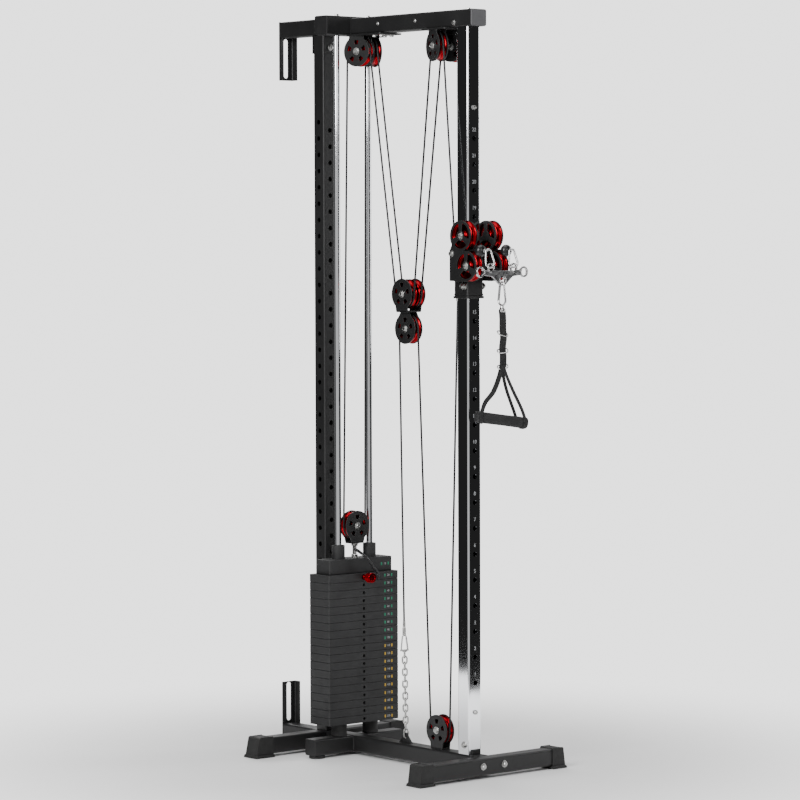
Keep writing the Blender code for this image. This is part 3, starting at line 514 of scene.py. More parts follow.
half = 0.025
low_z, base_top = 0.009, 0.059
base_mid = (low_z + base_top) / 2
base_low, base_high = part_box("base_frame")
stack_y = (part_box("stack_header")[0].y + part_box("stack_header")[1].y) / 2
beam = square_tube("beam", (0, base_low.y, base_mid), (0, base_high.y, base_mid),
                   (0.05, 0.05), powder)
base_pieces = [beam]
for side in (-1, 1):
    stub = square_tube("stub", (side * 0.0248, stack_y, base_mid), (side * 0.175, stack_y, base_mid),
                       (0.05, 0.05), powder, across=(0, 1, 0))
    stub_plug = slab("stub_plug", round_box(0.049, 0.049, 0.005), [], 0.003,
                     axes((side * 0.1745, stack_y, base_mid), (0, 1, 0), (0, 0, 1)), plug_look, 0.001)
    base_pieces += [stub, stub_plug]
    for edge in (-1, 1):
        base_pieces.append(weld_bead("stub_weld", (side * half, stack_y + edge * half, low_z + 0.004),
                                     (side * half, stack_y + edge * half, base_top - 0.004)))
    base_pieces.append(weld_bead("stub_weld", (side * half, stack_y - 0.022, base_top - 0.001),
                                 (side * half, stack_y + 0.022, base_top - 0.001)))
lug_y, lug_top, lug_peak = -0.046, 0.089, 0.011
lug = slab("chain_lug",
           [(-0.027, base_top - 0.001), (0.027, base_top - 0.001), (0.024, base_top + 0.006)]
           + arc((0, lug_top - lug_peak), lug_peak, 15, 165, 12) + [(-0.024, base_top + 0.006)],
           [arc((0, lug_top - lug_peak - 0.003), 0.0055, 0, 345, 23)], 0.005,
           axes((0, lug_y, 0), (0, 1, 0), (0, 0, 1)), powder, 0.0006)
base_pieces.append(lug)
for side in (-1, 1):
    base_pieces.append(weld_bead("lug_weld", (side * 0.0035, lug_y - 0.027, base_top + 0.001),
                                 (side * 0.0035, lug_y + 0.027, base_top + 0.001), 0.002))
fit(merged("welded_base", base_pieces), "tower", "black_powder_coat", "base_frame")


# ---------------------------------------------------------------- crossbars and rubber feet
# Two more tubes bolt across the ends of the beam. Moulded rubber caps slide over their ends and
# stand on a flared foot, and the stack stubs have a round foot each.

zinc = Look("bright_zinc", (0.48, 0.48, 0.47), 0.28, 1.0)
zinc.rough(zinc.noise(120.0), 0.2, 0.38)
zinc.tint(zinc.noise(60.0), (0.40, 0.40, 0.39), (0.55, 0.55, 0.54))
zinc.relief(zinc.noise(900.0, 2.0), 0.00008, 0.3)
zinc = zinc.material

rubber = Look("black_rubber", (0.010, 0.010, 0.010), 0.72)
rubber.rough(rubber.noise(40.0, 4.0), 0.6, 0.82)
rubber.tint(rubber.noise(14.0, 4.0), (0.008, 0.008, 0.008), (0.014, 0.014, 0.0138))
rubber.relief(rubber.noise(800.0, 2.0), 0.00025, 0.4)
rubber = rubber.material


def lathe(name, profile, look, where=None, steps=48, closed=True, smooth=35.0):
    """Turn a profile of (radius, height) about Z. Points on the axis are shared."""
    form = bmesh.new()
    rings = []
    for radius, height in profile:
        if radius < 1e-7:
            rings.append([form.verts.new((0, 0, height))] * steps)
        else:
            rings.append([form.verts.new((radius * cos(2 * pi * k / steps),
                                          radius * sin(2 * pi * k / steps), height))
                          for k in range(steps)])
    pairs = list(zip(rings, rings[1:]))
    if closed:
        pairs.append((rings[-1], rings[0]))
    for first, second in pairs:
        for k in range(steps):
            corners = []
            for corner in (first[k], first[(k + 1) % steps], second[(k + 1) % steps], second[k]):
                if corner not in corners:
                    corners.append(corner)
            if len(corners) > 2:
                form.faces.new(corners)
    if where is not None:
        form.transform(where)
    return object_from(name, form, look, smooth)


def facing(at, way):
    """A frame at a point whose Z looks along a direction."""
    return Matrix.Translation(at) @ Vector(way).to_track_quat("Z", "Y").to_matrix().to_4x4()


def hex_head(name, at, way, across=0.013, tall=0.0055, look=None, washer=True, tip=0.0):
    """A hexagon bolt head or nut on a washer, with a stub of thread when tip is set."""
    look = look or zinc
    where = facing(at, way)
    lift = 0.0
    pieces = []
    if washer:
        wide = across * 0.80
        pieces.append(lathe(name + "_washer", [(0.001, 0), (wide, 0), (wide, 0.0011),
                                               (wide - 0.0004, 0.0015), (0.001, 0.0015)],
                            look, where, 32))
        lift = 0.0015
    form = bmesh.new()
    radius = across / 2 / cos(pi / 6)
    rows = ((radius, 0), (radius, tall * 0.8), (radius * 0.86, tall), (radius * 0.45, tall),
            (radius * 0.4, tall * 0.9), (0.0, tall * 0.9))
    rings = []
    for wide, height in rows:
        if wide:
            sharp = height < tall * 0.9
            rings.append([form.verts.new(((wide if sharp or k % 2 else wide * 0.97) * cos(pi * k / 6),
                                          (wide if sharp or k % 2 else wide * 0.97) * sin(pi * k / 6),
                                          height + lift)) for k in range(0, 12)])
        else:
            rings.append([form.verts.new((0, 0, height + lift))] * 12)
    for ring, (wide, height) in zip(rings[:2], rows[:2]):
        for k in range(1, 12, 2):
            ring[k].co.x *= cos(pi / 6)
            ring[k].co.y *= cos(pi / 6)
    form.faces.new(rings[0])
    for first, second in zip(rings, rings[1:]):
        for k in range(12):
            corners = []
            for corner in (first[k], first[(k + 1) % 12], second[(k + 1) % 12], second[k]):
                if corner not in corners:
                    corners.append(corner)
            form.faces.new(corners)
    form.transform(where)
    pieces.append(object_from(name + "_hex", form, look, 25))
    if tip:
        reach = tall + lift + tip
        pieces.append(lathe(name + "_tip", [(0, tall * 0.5), (across * 0.27, tall * 0.5),
                                            (across * 0.27, reach - 0.0008),
                                            (across * 0.22, reach), (0, reach)], look, where, 20))
    return pieces


def bolt_set(name, body, spots):
    """Several bolt heads that belong to one body, as one piece."""
    pieces = []
    for number, spot in enumerate(spots):
        pieces += hex_head(f"{name}{number}", **spot)
    return fit(merged(name, pieces), body, "zinc_plate")


for bar in ("front", "rear"):
    bar_low, bar_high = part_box(bar + "_crossbar")
    bar_y = (bar_low.y + bar_high.y) / 2
    tube = square_tube(bar + "_bar", (bar_low.x, bar_y, base_mid), (bar_high.x, bar_y, base_mid),
                       (0.05, 0.05), powder, across=(0, 1, 0))
    fit(tube, "tower", "black_powder_coat", bar + "_crossbar")
    for end, side in (("left", -1), ("right", 1)):
        node = f"{bar}_{end}_foot_cap"
        cap_low, cap_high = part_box(node)
        toe = cap_high.x if side > 0 else -cap_low.x
        inner = (cap_low.x if side > 0 else -cap_high.x) + 0.004
        outer = abs(bar_high.x) + 0.0025
        top = cap_high.z
        where = axes((0, bar_y, 0), (side, 0, 0), (0, 0, 1))
        sleeve = slab("sleeve", [(inner, low_z), (inner, top - 0.002), (inner + 0.0015, top),
                                 (outer - 0.003, top), (outer + 0.0005, top - 0.0025),
                                 (toe - 0.006, low_z), (toe - 0.006, 0.004), (inner, 0.004)],
                      [], 0.0552, where, rubber, 0.0016, 3)
        foot = slab("foot", [(inner - 0.004, 0.0002), (inner - 0.003, low_z - 0.002),
                             (inner - 0.001, low_z - 0.0005), (toe - 0.005, low_z - 0.0005),
                             (toe - 0.0025, low_z - 0.003), (toe - 0.0002, 0.0002)],
                    [], 0.066, where, rubber, 0.0015, 3)
        cap = merged(f"{bar}_{end}_cap", [sleeve, foot])
        fit(cap, "tower", "black_rubber", node)
SIDES = (("left", -1), ("right", 1))
for end, side in SIDES:
    pad = lathe(f"{end}_stack_foot_pad", [(0, 0), (0.0235, 0), (0.025, 0.0015), (0.0245, 0.0075),
                                          (0.023, 0.0087), (0, 0.0087)], rubber,
                Matrix.Translation((side * 0.149, stack_y, 0)))
    fit(settle(pad), "tower", "black_rubber", f"stack_{end}_foot")
front_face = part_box("front_crossbar")[0].y
rear_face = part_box("rear_crossbar")[1].y
bolt_set("crossbar_bolts", "tower",
         [dict(at=(-0.040, front_face, 0.036), way=(0, -1, 0)),
          dict(at=(0.043, front_face, 0.036), way=(0, -1, 0)),
          dict(at=(-0.042, rear_face, 0.036), way=(0, 1, 0)),
          dict(at=(0.042, rear_face, 0.036), way=(0, 1, 0))])


# ---------------------------------------------------------------- chrome column
# The pulley carriage slides on a chromed 50 mm tube. Twenty-two holes in its front wall set the
# height, each with its number above it. It stands on the beam and bolts to the top beam.

chrome = Look("chrome_plate", (0.78, 0.79, 0.81), 0.06, 1.0)
chrome.rough(chrome.noise(6.0, 4.0, stretch=(1, 1, 0.15)), 0.035, 0.10)
chrome.relief(chrome.noise(14.0, 2.0, stretch=(1, 1, 0.12)), 0.0006, 0.08)
chrome.relief(chrome.noise(600.0, 3.0, stretch=(1, 1, 0.05)), 0.00004, 0.15)
chrome = chrome.material

ink = Look("pale_ink", (0.34, 0.35, 0.36), 0.5)
ink.tint(ink.noise(900.0), (0.26, 0.27, 0.28), (0.42, 0.43, 0.44))
ink = ink.material


def printed(name, text, tall, where, look, thick=0.00012):
    """A number set in a plain face, a hair thick, in a frame's XY plane."""
    data = bpy.data.curves.new(name, "FONT")
    data.body = text
    data.size = tall * 1.38
    data.align_x = "CENTER"
    data.align_y = "CENTER"
    data.extrude = thick
    data.resolution_u = 3
    drawn = bpy.data.objects.new(name, data)
    drawn.matrix_world = where
    bpy.context.scene.collection.objects.link(drawn)
    bpy.context.view_layer.update()
    graph = bpy.context.evaluated_depsgraph_get()
    flat = bpy.data.meshes.new_from_object(drawn.evaluated_get(graph))
    flat.transform(drawn.matrix_world)
    bpy.data.objects.remove(drawn, do_unlink=True)
    bpy.data.curves.remove(data)
    form = bmesh.new()
    form.from_mesh(flat)
    bpy.data.meshes.remove(flat)
    bmesh.ops.remove_doubles(form, verts=form.verts, dist=1e-6)
    return object_from(name, form, look)


COLUMN_PITCH = 0.0762
COLUMN_TOP_HOLE = 1.871
COLUMN_HOLES = 22
column_low, column_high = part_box("column")
column_y = (column_low.y + column_high.y) / 2
column_front = column_low.y
post = square_tube("column_post", (0, column_y, column_low.z), (0, column_y, column_high.z),
                   (0.05, 0.05), chrome)
column_rows = [COLUMN_TOP_HOLE - COLUMN_PITCH * k for k in range(COLUMN_HOLES)]
drilled(post, [((0, column_front - 0.004, z), (0, column_front + 0.006, z)) for z in column_rows],
        0.0075, 28)
fit(post, "tower", "chrome_plate", "column")
digits = [printed(f"digit{k}", str(COLUMN_HOLES - k), 0.0115,
                  axes((0, column_front - 0.0001, z + 0.026), (1, 0, 0), (0, 0, 1)), ink)
          for k, z in enumerate(column_rows)]
fit(merged("column_numbers", digits), "tower", "chrome_plate")
bolt_set("column_bolts", "tower",
         [dict(at=(0, column_front, 1.962), way=(0, -1, 0), across=0.012, washer=False),
          dict(at=(0, column_front, 0.184), way=(0, -1, 0), across=0.012, washer=False),
          dict(at=(column_low.x, column_y - 0.004, 0.087), way=(-1, 0, 0)),
          dict(at=(column_high.x, column_y - 0.004, 0.087), way=(1, 0, 0))])
shoe = slab("column_shoe", round_box(0.030, 0.014, 0.002), [], 0.006,
            axes((0, column_front - 0.003, 0.0665), (1, 0, 0), (0, 0, 1)), powder, 0.0008)
fit(shoe, "tower", "black_powder_coat")


# ---------------------------------------------------------------- rear upright
# The black upright behind the stack is the same tube with a row of 15 mm holes every 50 mm in
# its front wall, and another in its left wall half a step higher, for accessories.

upright_low, upright_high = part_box("rear_upright")
upright_y = (upright_low.y + upright_high.y) / 2
rear_post = square_tube("rear_post", (0, upright_y, upright_low.z), (0, upright_y, upright_high.z),
                        (0.05, 0.05), powder)
upright_holes = []
for k in range(37):
    z = 1.913 - 0.05 * k
    upright_holes.append(((0, upright_low.y - 0.004, z), (0, upright_low.y + 0.006, z)))
    upright_holes.append(((-0.029, upright_y, z + 0.025), (-0.019, upright_y, z + 0.025)))
drilled(rear_post, upright_holes, 0.0075, 20)
fit(rear_post, "tower", "black_powder_coat", "rear_upright")


# ---------------------------------------------------------------- head tube, top beam, wall mounts
# A short tube across the top holds the guide rods and the top beam ties it to the column. Two
# arms reach back to slotted angles that screw to the wall; the upper one straddles the upright.

head_low, head_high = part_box("rod_head_tube")
head_mid = (head_low + head_high) / 2
head = square_tube("head_tube", (head_low.x, head_mid.y, head_mid.z),
                   (head_high.x, head_mid.y, head_mid.z),
                   (head_high.y - head_low.y, head_high.z - head_low.z), powder, across=(0, 1, 0))
head_pieces = [head]
for side in (-1, 1):
    head_pieces.append(slab("head_plug", round_box(head_high.y - head_low.y - 0.001,
                                                   head_high.z - head_low.z - 0.001, 0.005), [], 0.003,
                            axes((side * (head_high.x - 0.0005), head_mid.y, head_mid.z), (0, 1, 0),
                                 (0, 0, 1)), plug_look, 0.001))
fit(merged("head_with_plugs", head_pieces), "tower", "black_powder_coat", "rod_head_tube")

beam_low, beam_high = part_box("top_beam")
beam_mid = (beam_low + beam_high) / 2
beam_size = (beam_high.x - beam_low.x, beam_high.z - beam_low.z)
top = square_tube("top_rail", (0, beam_low.y, beam_mid.z), (0, beam_high.y, beam_mid.z),
                  beam_size, powder)
drilled(top, [((beam_low.x - 0.004, y, 2.2245), (beam_low.x + 0.006, y, 2.2245))
              for y in (0.040, -0.130)], 0.0055, 20)
grey_plastic = Look("grey_plastic", (0.10, 0.10, 0.105), 0.45)
grey_plastic.rough(grey_plastic.noise(80.0), 0.38, 0.52)
grey_plastic.relief(grey_plastic.noise(700.0, 2.0), 0.0002, 0.4)
grey_plastic = grey_plastic.material
nose = slab("nose_plug", round_box(beam_size[0] - 0.001, beam_size[1] - 0.001, 0.006), [], 0.005,
            axes((0, beam_low.y - 0.001, beam_mid.z), (1, 0, 0), (0, 0, 1)), grey_plastic, 0.0015, 2)
fit(merged("top_rail_with_plug", [top, nose]), "tower", "black_powder_coat", "top_beam")


screws = [lathe("side_screw", [(0, 0), (0.0062, 0), (0.0060, 0.0012), (0.0040, 0.0024), (0.0022, 0.0028),
                               (0.0020, 0.0016), (0, 0.0016)], zinc,
                facing((beam_low.x, y, 2.2245), (-1, 0, 0)), 28) for y in (0.040, -0.130)]
fit(merged("rail_screws", screws), "tower", "zinc_plate")


def wall_mount(name, node, body, tabs):
    low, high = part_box(node)
    arm_mid = (high.z - half) if tabs else (low.z + half)
    face = high.y - 0.004
    start = low.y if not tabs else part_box("rod_head_tube")[1].y + 0.0003
    arm = square_tube("arm", (0, start, arm_mid), (0, face + 0.0005, arm_mid), (0.05, 0.05), powder)
    slot_low, slot_high = (low.z + 0.007, low.z + 0.129) if tabs else (low.z + 0.057, low.z + 0.179)
    opening = (arc((0, slot_low + 0.009), 0.009, 180, 360, 14)
               + arc((0, slot_high - 0.009), 0.009, 0, 180, 14))
    flat = slab("flat", [(-half, low.z), (high.x - 0.001, low.z), (high.x - 0.001, high.z),
                         (-half, high.z)], [opening], 0.004,
                axes((0, high.y - 0.002, 0), (1, 0, 0), (0, 0, 1)), powder, 0.0005)
    bend = [(high.x, high.y - 0.024), (high.x - 0.004, high.y - 0.024),
            (high.x - 0.004, high.y - 0.006), (high.x - 0.006, high.y - 0.004),
            (high.x - 0.010, high.y - 0.004), (high.x - 0.010, high.y)]
    bend += [(x, y) for x, y in reversed([(high.x, high.y - 0.005), (high.x - 0.0015, high.y - 0.0015),
                                          (high.x - 0.005, high.y)])]
    leg = slab("leg", [(x, -y) for x, y in bend], [], high.z - low.z - 0.0004,
               axes((0, 0, (low.z + high.z) / 2), (1, 0, 0), (0, -1, 0)), powder, 0.0003)
    pieces = [arm, flat, leg]
    for side in (-1, 1):
        pieces.append(weld_bead("arm_weld", (side * (half - 0.001), face - 0.0005, arm_mid - 0.02),
                                (side * (half - 0.001), face - 0.0005, arm_mid + 0.02), 0.002))
    if tabs:
        for y0, y1 in ((upright_low.y - 0.0043, upright_low.y - 0.0003),
                       (upright_high.y + 0.0003, upright_high.y + 0.0043)):
            under, over = low.z + 0.076, arm_mid - half + 0.001
            pieces.append(slab("tab", [(-half, under), (half, under), (half, over), (-half, over)],
                               [], 0.004, axes((0, (y0 + y1) / 2, 0), (1, 0, 0), (0, 0, 1)),
                               powder, 0.0005))
    return fit(merged(name, pieces), body, "black_powder_coat", node)


wall_mount("upper_arm", "upper_wall_mount", "tower", True)
wall_mount("lower_arm", "lower_wall_mount", "tower", False)
rod_x = 0.062
bolt_set("frame_bolts", "tower",
         [dict(at=(0, upright_low.y - 0.0043, 2.166), way=(0, -1, 0), across=0.012),
          dict(at=(0, upright_high.y + 0.0043, 2.166), way=(0, 1, 0), across=0.012),
          dict(at=(-rod_x, stack_y, head_high.z), way=(0, 0, 1), across=0.013, tall=0.005),
          dict(at=(rod_x, stack_y, head_high.z), way=(0, 0, 1), across=0.013, tall=0.005),
          dict(at=(0, column_y, beam_high.z), way=(0, 0, 1), across=0.012, tall=0.004),
          dict(at=(beam_low.x, column_y + 0.030, beam_low.z + 0.012), way=(-1, 0, 0), across=0.010,
               tall=0.004)])


# ---------------------------------------------------------------- guide rods and bumpers
# Two solid chromed rods guide the stack. A rubber ring at the foot of each one takes the shock
# when the plates come down.

for end, side in (("left", -1), ("right", 1)):
    rod_low, rod_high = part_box(f"{end}_guide_rod")
    rod_form = lathe(f"{end}_rod", [(0, rod_low.z), (0.0088, rod_low.z), (0.0095, rod_low.z + 0.0008),
                                    (0.0095, rod_high.z - 0.0008), (0.0088, rod_high.z),
                                    (0, rod_high.z)], chrome,
                     Matrix.Translation((side * rod_x, stack_y, 0)), 40)
    fit(rod_form, "tower", "chrome_plate", f"{end}_guide_rod")
    pad_low, pad_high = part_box(f"{end}_stack_bumper")
    ring = [(0.0103, pad_low.z), (0.0235, pad_low.z), (0.025, pad_low.z + 0.0015)]
    ring += [(0.0235, pad_low.z + 0.012), (0.0235, pad_low.z + 0.026)]
    ring += [(0.025, pad_high.z - 0.003), (0.0238, pad_high.z - 0.0005), (0.0103, pad_high.z)]
    fit(lathe(f"{end}_bumper_ring", ring, rubber, Matrix.Translation((side * rod_x, stack_y, 0))),
        "tower", "black_rubber", f"{end}_stack_bumper")


# ---------------------------------------------------------------- pulleys
# Every cable runs on a machined aluminium sheave, anodised red, 89 mm across. It turns on a
# pressed-in ball bearing, and its groove is polished by the cable.

CABLE_TRACK = 0.0425
CHEEK_R, CHEEK, CHEEK_IN = 0.046, 0.003, 0.0125
Z_UP = Vector((0, 0, 1))

red_look = Look("red_anodised", (0.27, 0.003, 0.008), 0.20, 1.0)
red_look.rough(red_look.noise(90.0), 0.16, 0.26)
red_look.tint(red_look.noise(30.0), (0.24, 0.002, 0.007), (0.31, 0.003, 0.010))
red_look.relief(red_look.wave(260.0, kind="RINGS", way="Z"), 0.00003, 0.12)
red_look = red_look.material

steel_look = Look("bearing_steel", (0.58, 0.58, 0.58), 0.25, 1.0)
steel_look.rough(steel_look.noise(150.0), 0.18, 0.34)
steel_look.relief(steel_look.wave(400.0, kind="RINGS", way="Z"), 0.00004, 0.3)
steel_look = steel_look.material


def sheave(name, node, body, centre, axle):
    half_rim = [(0.0112, 0.0094), (0.0150, 0.0094), (0.0158, 0.0088), (0.0168, 0.0060),
                (0.0180, 0.0054), (0.0335, 0.0054), (0.0350, 0.0062), (0.0358, 0.0094),
                (0.0366, 0.0100), (0.0434, 0.0100), (0.0445, 0.0093), (0.0445, 0.0086),
                (0.0437, 0.0080), (0.0398, 0.0040), (0.0391, 0.0028), (0.0388, 0.0012)]
    rim = lathe(name + "_rim", half_rim + [(r, -z) for r, z in reversed(half_rim)], red_look,
                steps=72, smooth=28)
    half_race = [(0.0054, 0.0088), (0.0069, 0.0090), (0.0072, 0.0082), (0.0096, 0.0082),
                 (0.0099, 0.0090), (0.0113, 0.0090)]
    race = lathe(name + "_race", half_race + [(r, -z) for r, z in reversed(half_race)], steel_look,
                 steps=40)
    wheel = merged(name, [rim, race])
    wheel.matrix_world = facing(centre, axle)
    return fit(wheel, body, "red_anodised", node)


TOP_AXLE_Z = 2.146
REAR_SPLAY, FRONT_SPLAY = radians(14.5), radians(16)
REAR_TOP, FRONT_TOP = (0.0252, 0.134), (0.032, -0.233)
BLOCK_Y, BLOCK_Z, BLOCK_X = -0.064, (1.310, 1.414), 0.0145
LOW_SHEAVE = Vector((0, -0.203, 0.115))
STACK_SHEAVE = Vector((0, 0.193, 0.702))
TROLLEY_X, TROLLEY_UP, TROLLEY_LOW = 0.050, (-0.3695, 1.587), (-0.393, 1.499)

for end, side in SIDES:
    sheave(f"rear_{end}_sheave", f"rear_top_{end}_pulley", f"rear_{end}_wheel",
           (side * REAR_TOP[0], REAR_TOP[1], TOP_AXLE_Z),
           (cos(REAR_SPLAY), -side * sin(REAR_SPLAY), 0))
    sheave(f"front_{end}_sheave", f"front_top_{end}_pulley", f"front_{end}_wheel",
           (side * FRONT_TOP[0], FRONT_TOP[1], TOP_AXLE_Z),
           (cos(FRONT_SPLAY), side * sin(FRONT_SPLAY), 0))
    sheave(f"float_{end}_sheave", f"floating_{end}_pulley", f"float_{end}_wheel",
           (side * BLOCK_X, BLOCK_Y, BLOCK_Z[1]), (1, 0, 0))
    for level, spot in (("upper", TROLLEY_UP), ("lower", TROLLEY_LOW)):
        sheave(f"carriage_{end}_{level}_sheave", f"trolley_{end}_{level}_pulley",
               f"trolley_{end}_{level}_wheel", (side * TROLLEY_X, *spot), (1, 0, 0))
sheave("low_sheave", "low_pulley", "low_wheel", LOW_SHEAVE, (1, 0, 0))
sheave("float_lower_sheave", "floating_lower_pulley", "float_lower_wheel",
       (0, BLOCK_Y, BLOCK_Z[0]), (1, 0, 0))
sheave("stack_sheave", "stack_pulley", "equaliser_wheel", STACK_SHEAVE, (0, 1, 0))


# ---------------------------------------------------------------- pulley brackets on the frame
# Each sheave sits between two laser-cut cheeks with five windows, welded to a mounting plate.
# The front and rear pairs under the top beam are splayed, and one stands on the base.

def softened(loop, radius, sharpest=25):
    """Round the sharp corners of an outline."""
    count = len(loop)
    line = []
    for i in range(count):
        a, b, c = (Vector(loop[(i + k) % count]) for k in (-1, 0, 1))
        before, after = a - b, c - b
        if before.length < 1e-7 or after.length < 1e-7 or before.angle(after) > pi - radians(sharpest):
            line.append(tuple(b))
            continue
        reach = min(radius, before.length * 0.45, after.length * 0.45)
        start, end = b + before.normalized() * reach, b + after.normalized() * reach
        for k in range(5):
            t = k / 4
            line.append(tuple(start * (1 - t) ** 2 + b * 2 * t * (1 - t) + end * t * t))
    return line


def five_windows():
    loops = []
    for i in range(5):
        mid = 90 + 72 * i
        wedge = arc((0, 0), 0.0335, mid - 15, mid + 15, 8) + arc((0, 0), 0.0205, mid + 13, mid - 13, 5)
        loops.append(softened(wedge, 0.0025))
    return loops


def cheek_outline(reach, neck_half):
    """A disc that runs into a straight neck. Reach is the signed height of the neck's end."""
    flip = 1 if reach > 0 else -1
    loop = [(u, flip * v) for u, v in arc((0, 0), CHEEK_R, 52, -232, 48)]
    return softened(loop + [(-neck_half, reach), (neck_half, reach)], 0.002, 60)


def fork(name, centre, turn, reach, neck_half, half_gap=CHEEK_IN):
    """The two cheeks of one sheave, with its axle bolt, nut, washers and spacers."""
    where = Matrix.Translation(centre) @ Matrix.Rotation(turn, 4, "Z")
    pieces = []
    for side in (-1, 1):
        middle = side * (half_gap + CHEEK / 2)
        pieces.append(slab(f"{name}_cheek", cheek_outline(reach, neck_half), five_windows(), CHEEK,
                           where @ axes((middle, 0, 0), (0, 1, 0), (0, 0, 1)), powder, 0.0006, 2))
        outward = where.to_3x3() @ Vector((side, 0, 0))
        pieces += hex_head(f"{name}_axle", where @ Vector((side * (half_gap + CHEEK), 0, 0)), outward,
                           0.014, 0.005, tip=0.0015 if side > 0 else 0.0)
        pieces.append(lathe(f"{name}_spacer", [(0.0052, 0), (0.0085, 0), (0.0085, half_gap - 0.0093),
                                               (0.0052, half_gap - 0.0093)], zinc,
                            facing(where @ Vector((side * 0.0092, 0, 0)), outward), 24))
    pieces.append(lathe(f"{name}_pin", [(0, -half_gap - 0.001), (0.005, -half_gap - 0.001),
                                        (0.005, half_gap + 0.001), (0, half_gap + 0.001)], zinc,
                        facing(Vector(centre), where.to_3x3() @ Vector((1, 0, 0))), 24))
    return pieces


def mounting_plate(name, low, high):
    low, high = Vector(low), Vector(high)
    return slab(name, round_box(high.x - low.x, high.y - low.y, 0.004), [], high.z - low.z,
                axes((low + high) / 2, (1, 0, 0), (0, 1, 0)), powder, 0.0006, 2)


beam_under = beam_low.z - 0.0003
for bar, (offset, y), splay, half_gap, y0, y1, wide in (
        ("rear", REAR_TOP, -REAR_SPLAY, 0.0108, 0.014, 0.170, 0.044),
        ("front", FRONT_TOP, FRONT_SPLAY, CHEEK_IN, -0.288, -0.183, 0.052)):
    pieces = [mounting_plate(bar + "_plate", (-wide, y0, beam_under - 0.005), (wide, y1, beam_under))]
    for end, side in SIDES:
        pieces += fork(f"{bar}_{end}", (side * offset, y, TOP_AXLE_Z), side * splay,
                       beam_under - 0.0045 - TOP_AXLE_Z, 0.026, half_gap)
    if bar == "rear":
        for spot in ((-0.020, 0.034), (0.020, 0.034), (-0.020, 0.066), (0.020, 0.066)):
            pieces += hex_head("plate_bolt", (*spot, beam_under - 0.005), (0, 0, -1), 0.012, 0.0045)
    fit(merged(bar + "_pulley_bracket", pieces), "tower", "black_powder_coat", bar + "_top_bracket")

low_base = base_top + 0.0003
pieces = [mounting_plate("low_plate", (-0.0155, -0.229, low_base), (0.0155, -0.177, low_base + 0.004))]
pieces += fork("low", LOW_SHEAVE, 0, low_base + 0.001 - LOW_SHEAVE.z, 0.026)
for side in (-1, 1):
    pieces.append(weld_bead("low_weld", (side * 0.016, -0.228, low_base + 0.0008),
                            (side * 0.016, -0.178, low_base + 0.0008), 0.0018))
fit(merged("low_bracket", pieces), "tower", "black_powder_coat", "low_pulley_bracket")


# ---------------------------------------------------------------- floating block
# Two sheaves side by side over a single one, in a double fork of the same cheeks. The lift cables
# hang it and the cable from the carriage pulls it down.

span = BLOCK_X + 0.0105 + CHEEK
pieces = [slab("cross_plate", round_box(2 * span, 0.050, 0.002), [], 0.005,
               axes((0, BLOCK_Y, 1.362), (1, 0, 0), (0, 1, 0)), powder, 0.0006, 2)]
pieces += fork("upper", (0, BLOCK_Y, BLOCK_Z[1]), 0, 1.3605 - BLOCK_Z[1], 0.025, span - CHEEK)
pieces += fork("lower", (0, BLOCK_Y, BLOCK_Z[0]), 0, 1.3635 - BLOCK_Z[0], 0.018)
pieces.append(lathe("middle_spacer", [(0.0052, -0.0052), (0.0080, -0.0052), (0.0080, 0.0052),
                                      (0.0052, 0.0052)], zinc,
                    facing((0, BLOCK_Y, BLOCK_Z[1]), (1, 0, 0)), 24))
fit(merged("pulley_block", pieces), "float", "black_powder_coat", "floating_block")


# ---------------------------------------------------------------- weight stack
# Nineteen cast plates with a rough charcoal coat, cored for the rods and the stem, each with a
# pin hole in its front. The header rides the rods on two sleeves and a drilled stem hangs from it.

cast = Look("coated_weight", (0.011, 0.0112, 0.0116), 0.62)
cast.rough(cast.noise(24.0, 5.0), 0.52, 0.72)
cast.tint(cast.noise(10.0, 5.0), (0.0095, 0.0096, 0.010), (0.0145, 0.0147, 0.0152))
cast.relief(cast.noise(330.0, 3.0), 0.0004, 0.4)
cast.relief(cast.noise(26.0, 2.0), 0.0010, 0.10)
cast = cast.material

PLATE_WIDE, PLATE_DEEP, PLATE_TALL = 0.276, 0.095, 0.0242
STACK_BASE, PLATES = 0.099, 19
STACK_TOP = STACK_BASE + PLATES * PLATE_TALL
plate_front = stack_y - PLATE_DEEP / 2


def weight_plate(number):
    """Plate 0 is the lowest."""
    low = STACK_BASE + number * PLATE_TALL + 0.0003
    openings = [arc((side * rod_x, 0), 0.0110, 0, 345, 23) for side in (-1, 1)]
    openings.append(arc((0, 0), 0.0135, 0, 345, 23))
    made = slab(f"plate_{number + 1:02d}", round_box(PLATE_WIDE, PLATE_DEEP, 0.0035, 4), openings,
                PLATE_TALL - 0.0006, axes((0, stack_y, low + (PLATE_TALL - 0.0006) / 2), (1, 0, 0),
                                          (0, 1, 0)), cast, 0.0011, 2)
    return drilled(made, [((0, plate_front - 0.006, low + 0.0118), (0, stack_y - 0.010, low + 0.0118))],
                   0.0050, 20)


plates = [weight_plate(number) for number in range(PLATES)]
for number, plate in enumerate(plates[:-1]):
    fit(plate, "tower", "coated_weight", *(["weight_plates"] if number == 0 else []))
fit(plates[-1], "carriage", "coated_weight", "selected_plate")

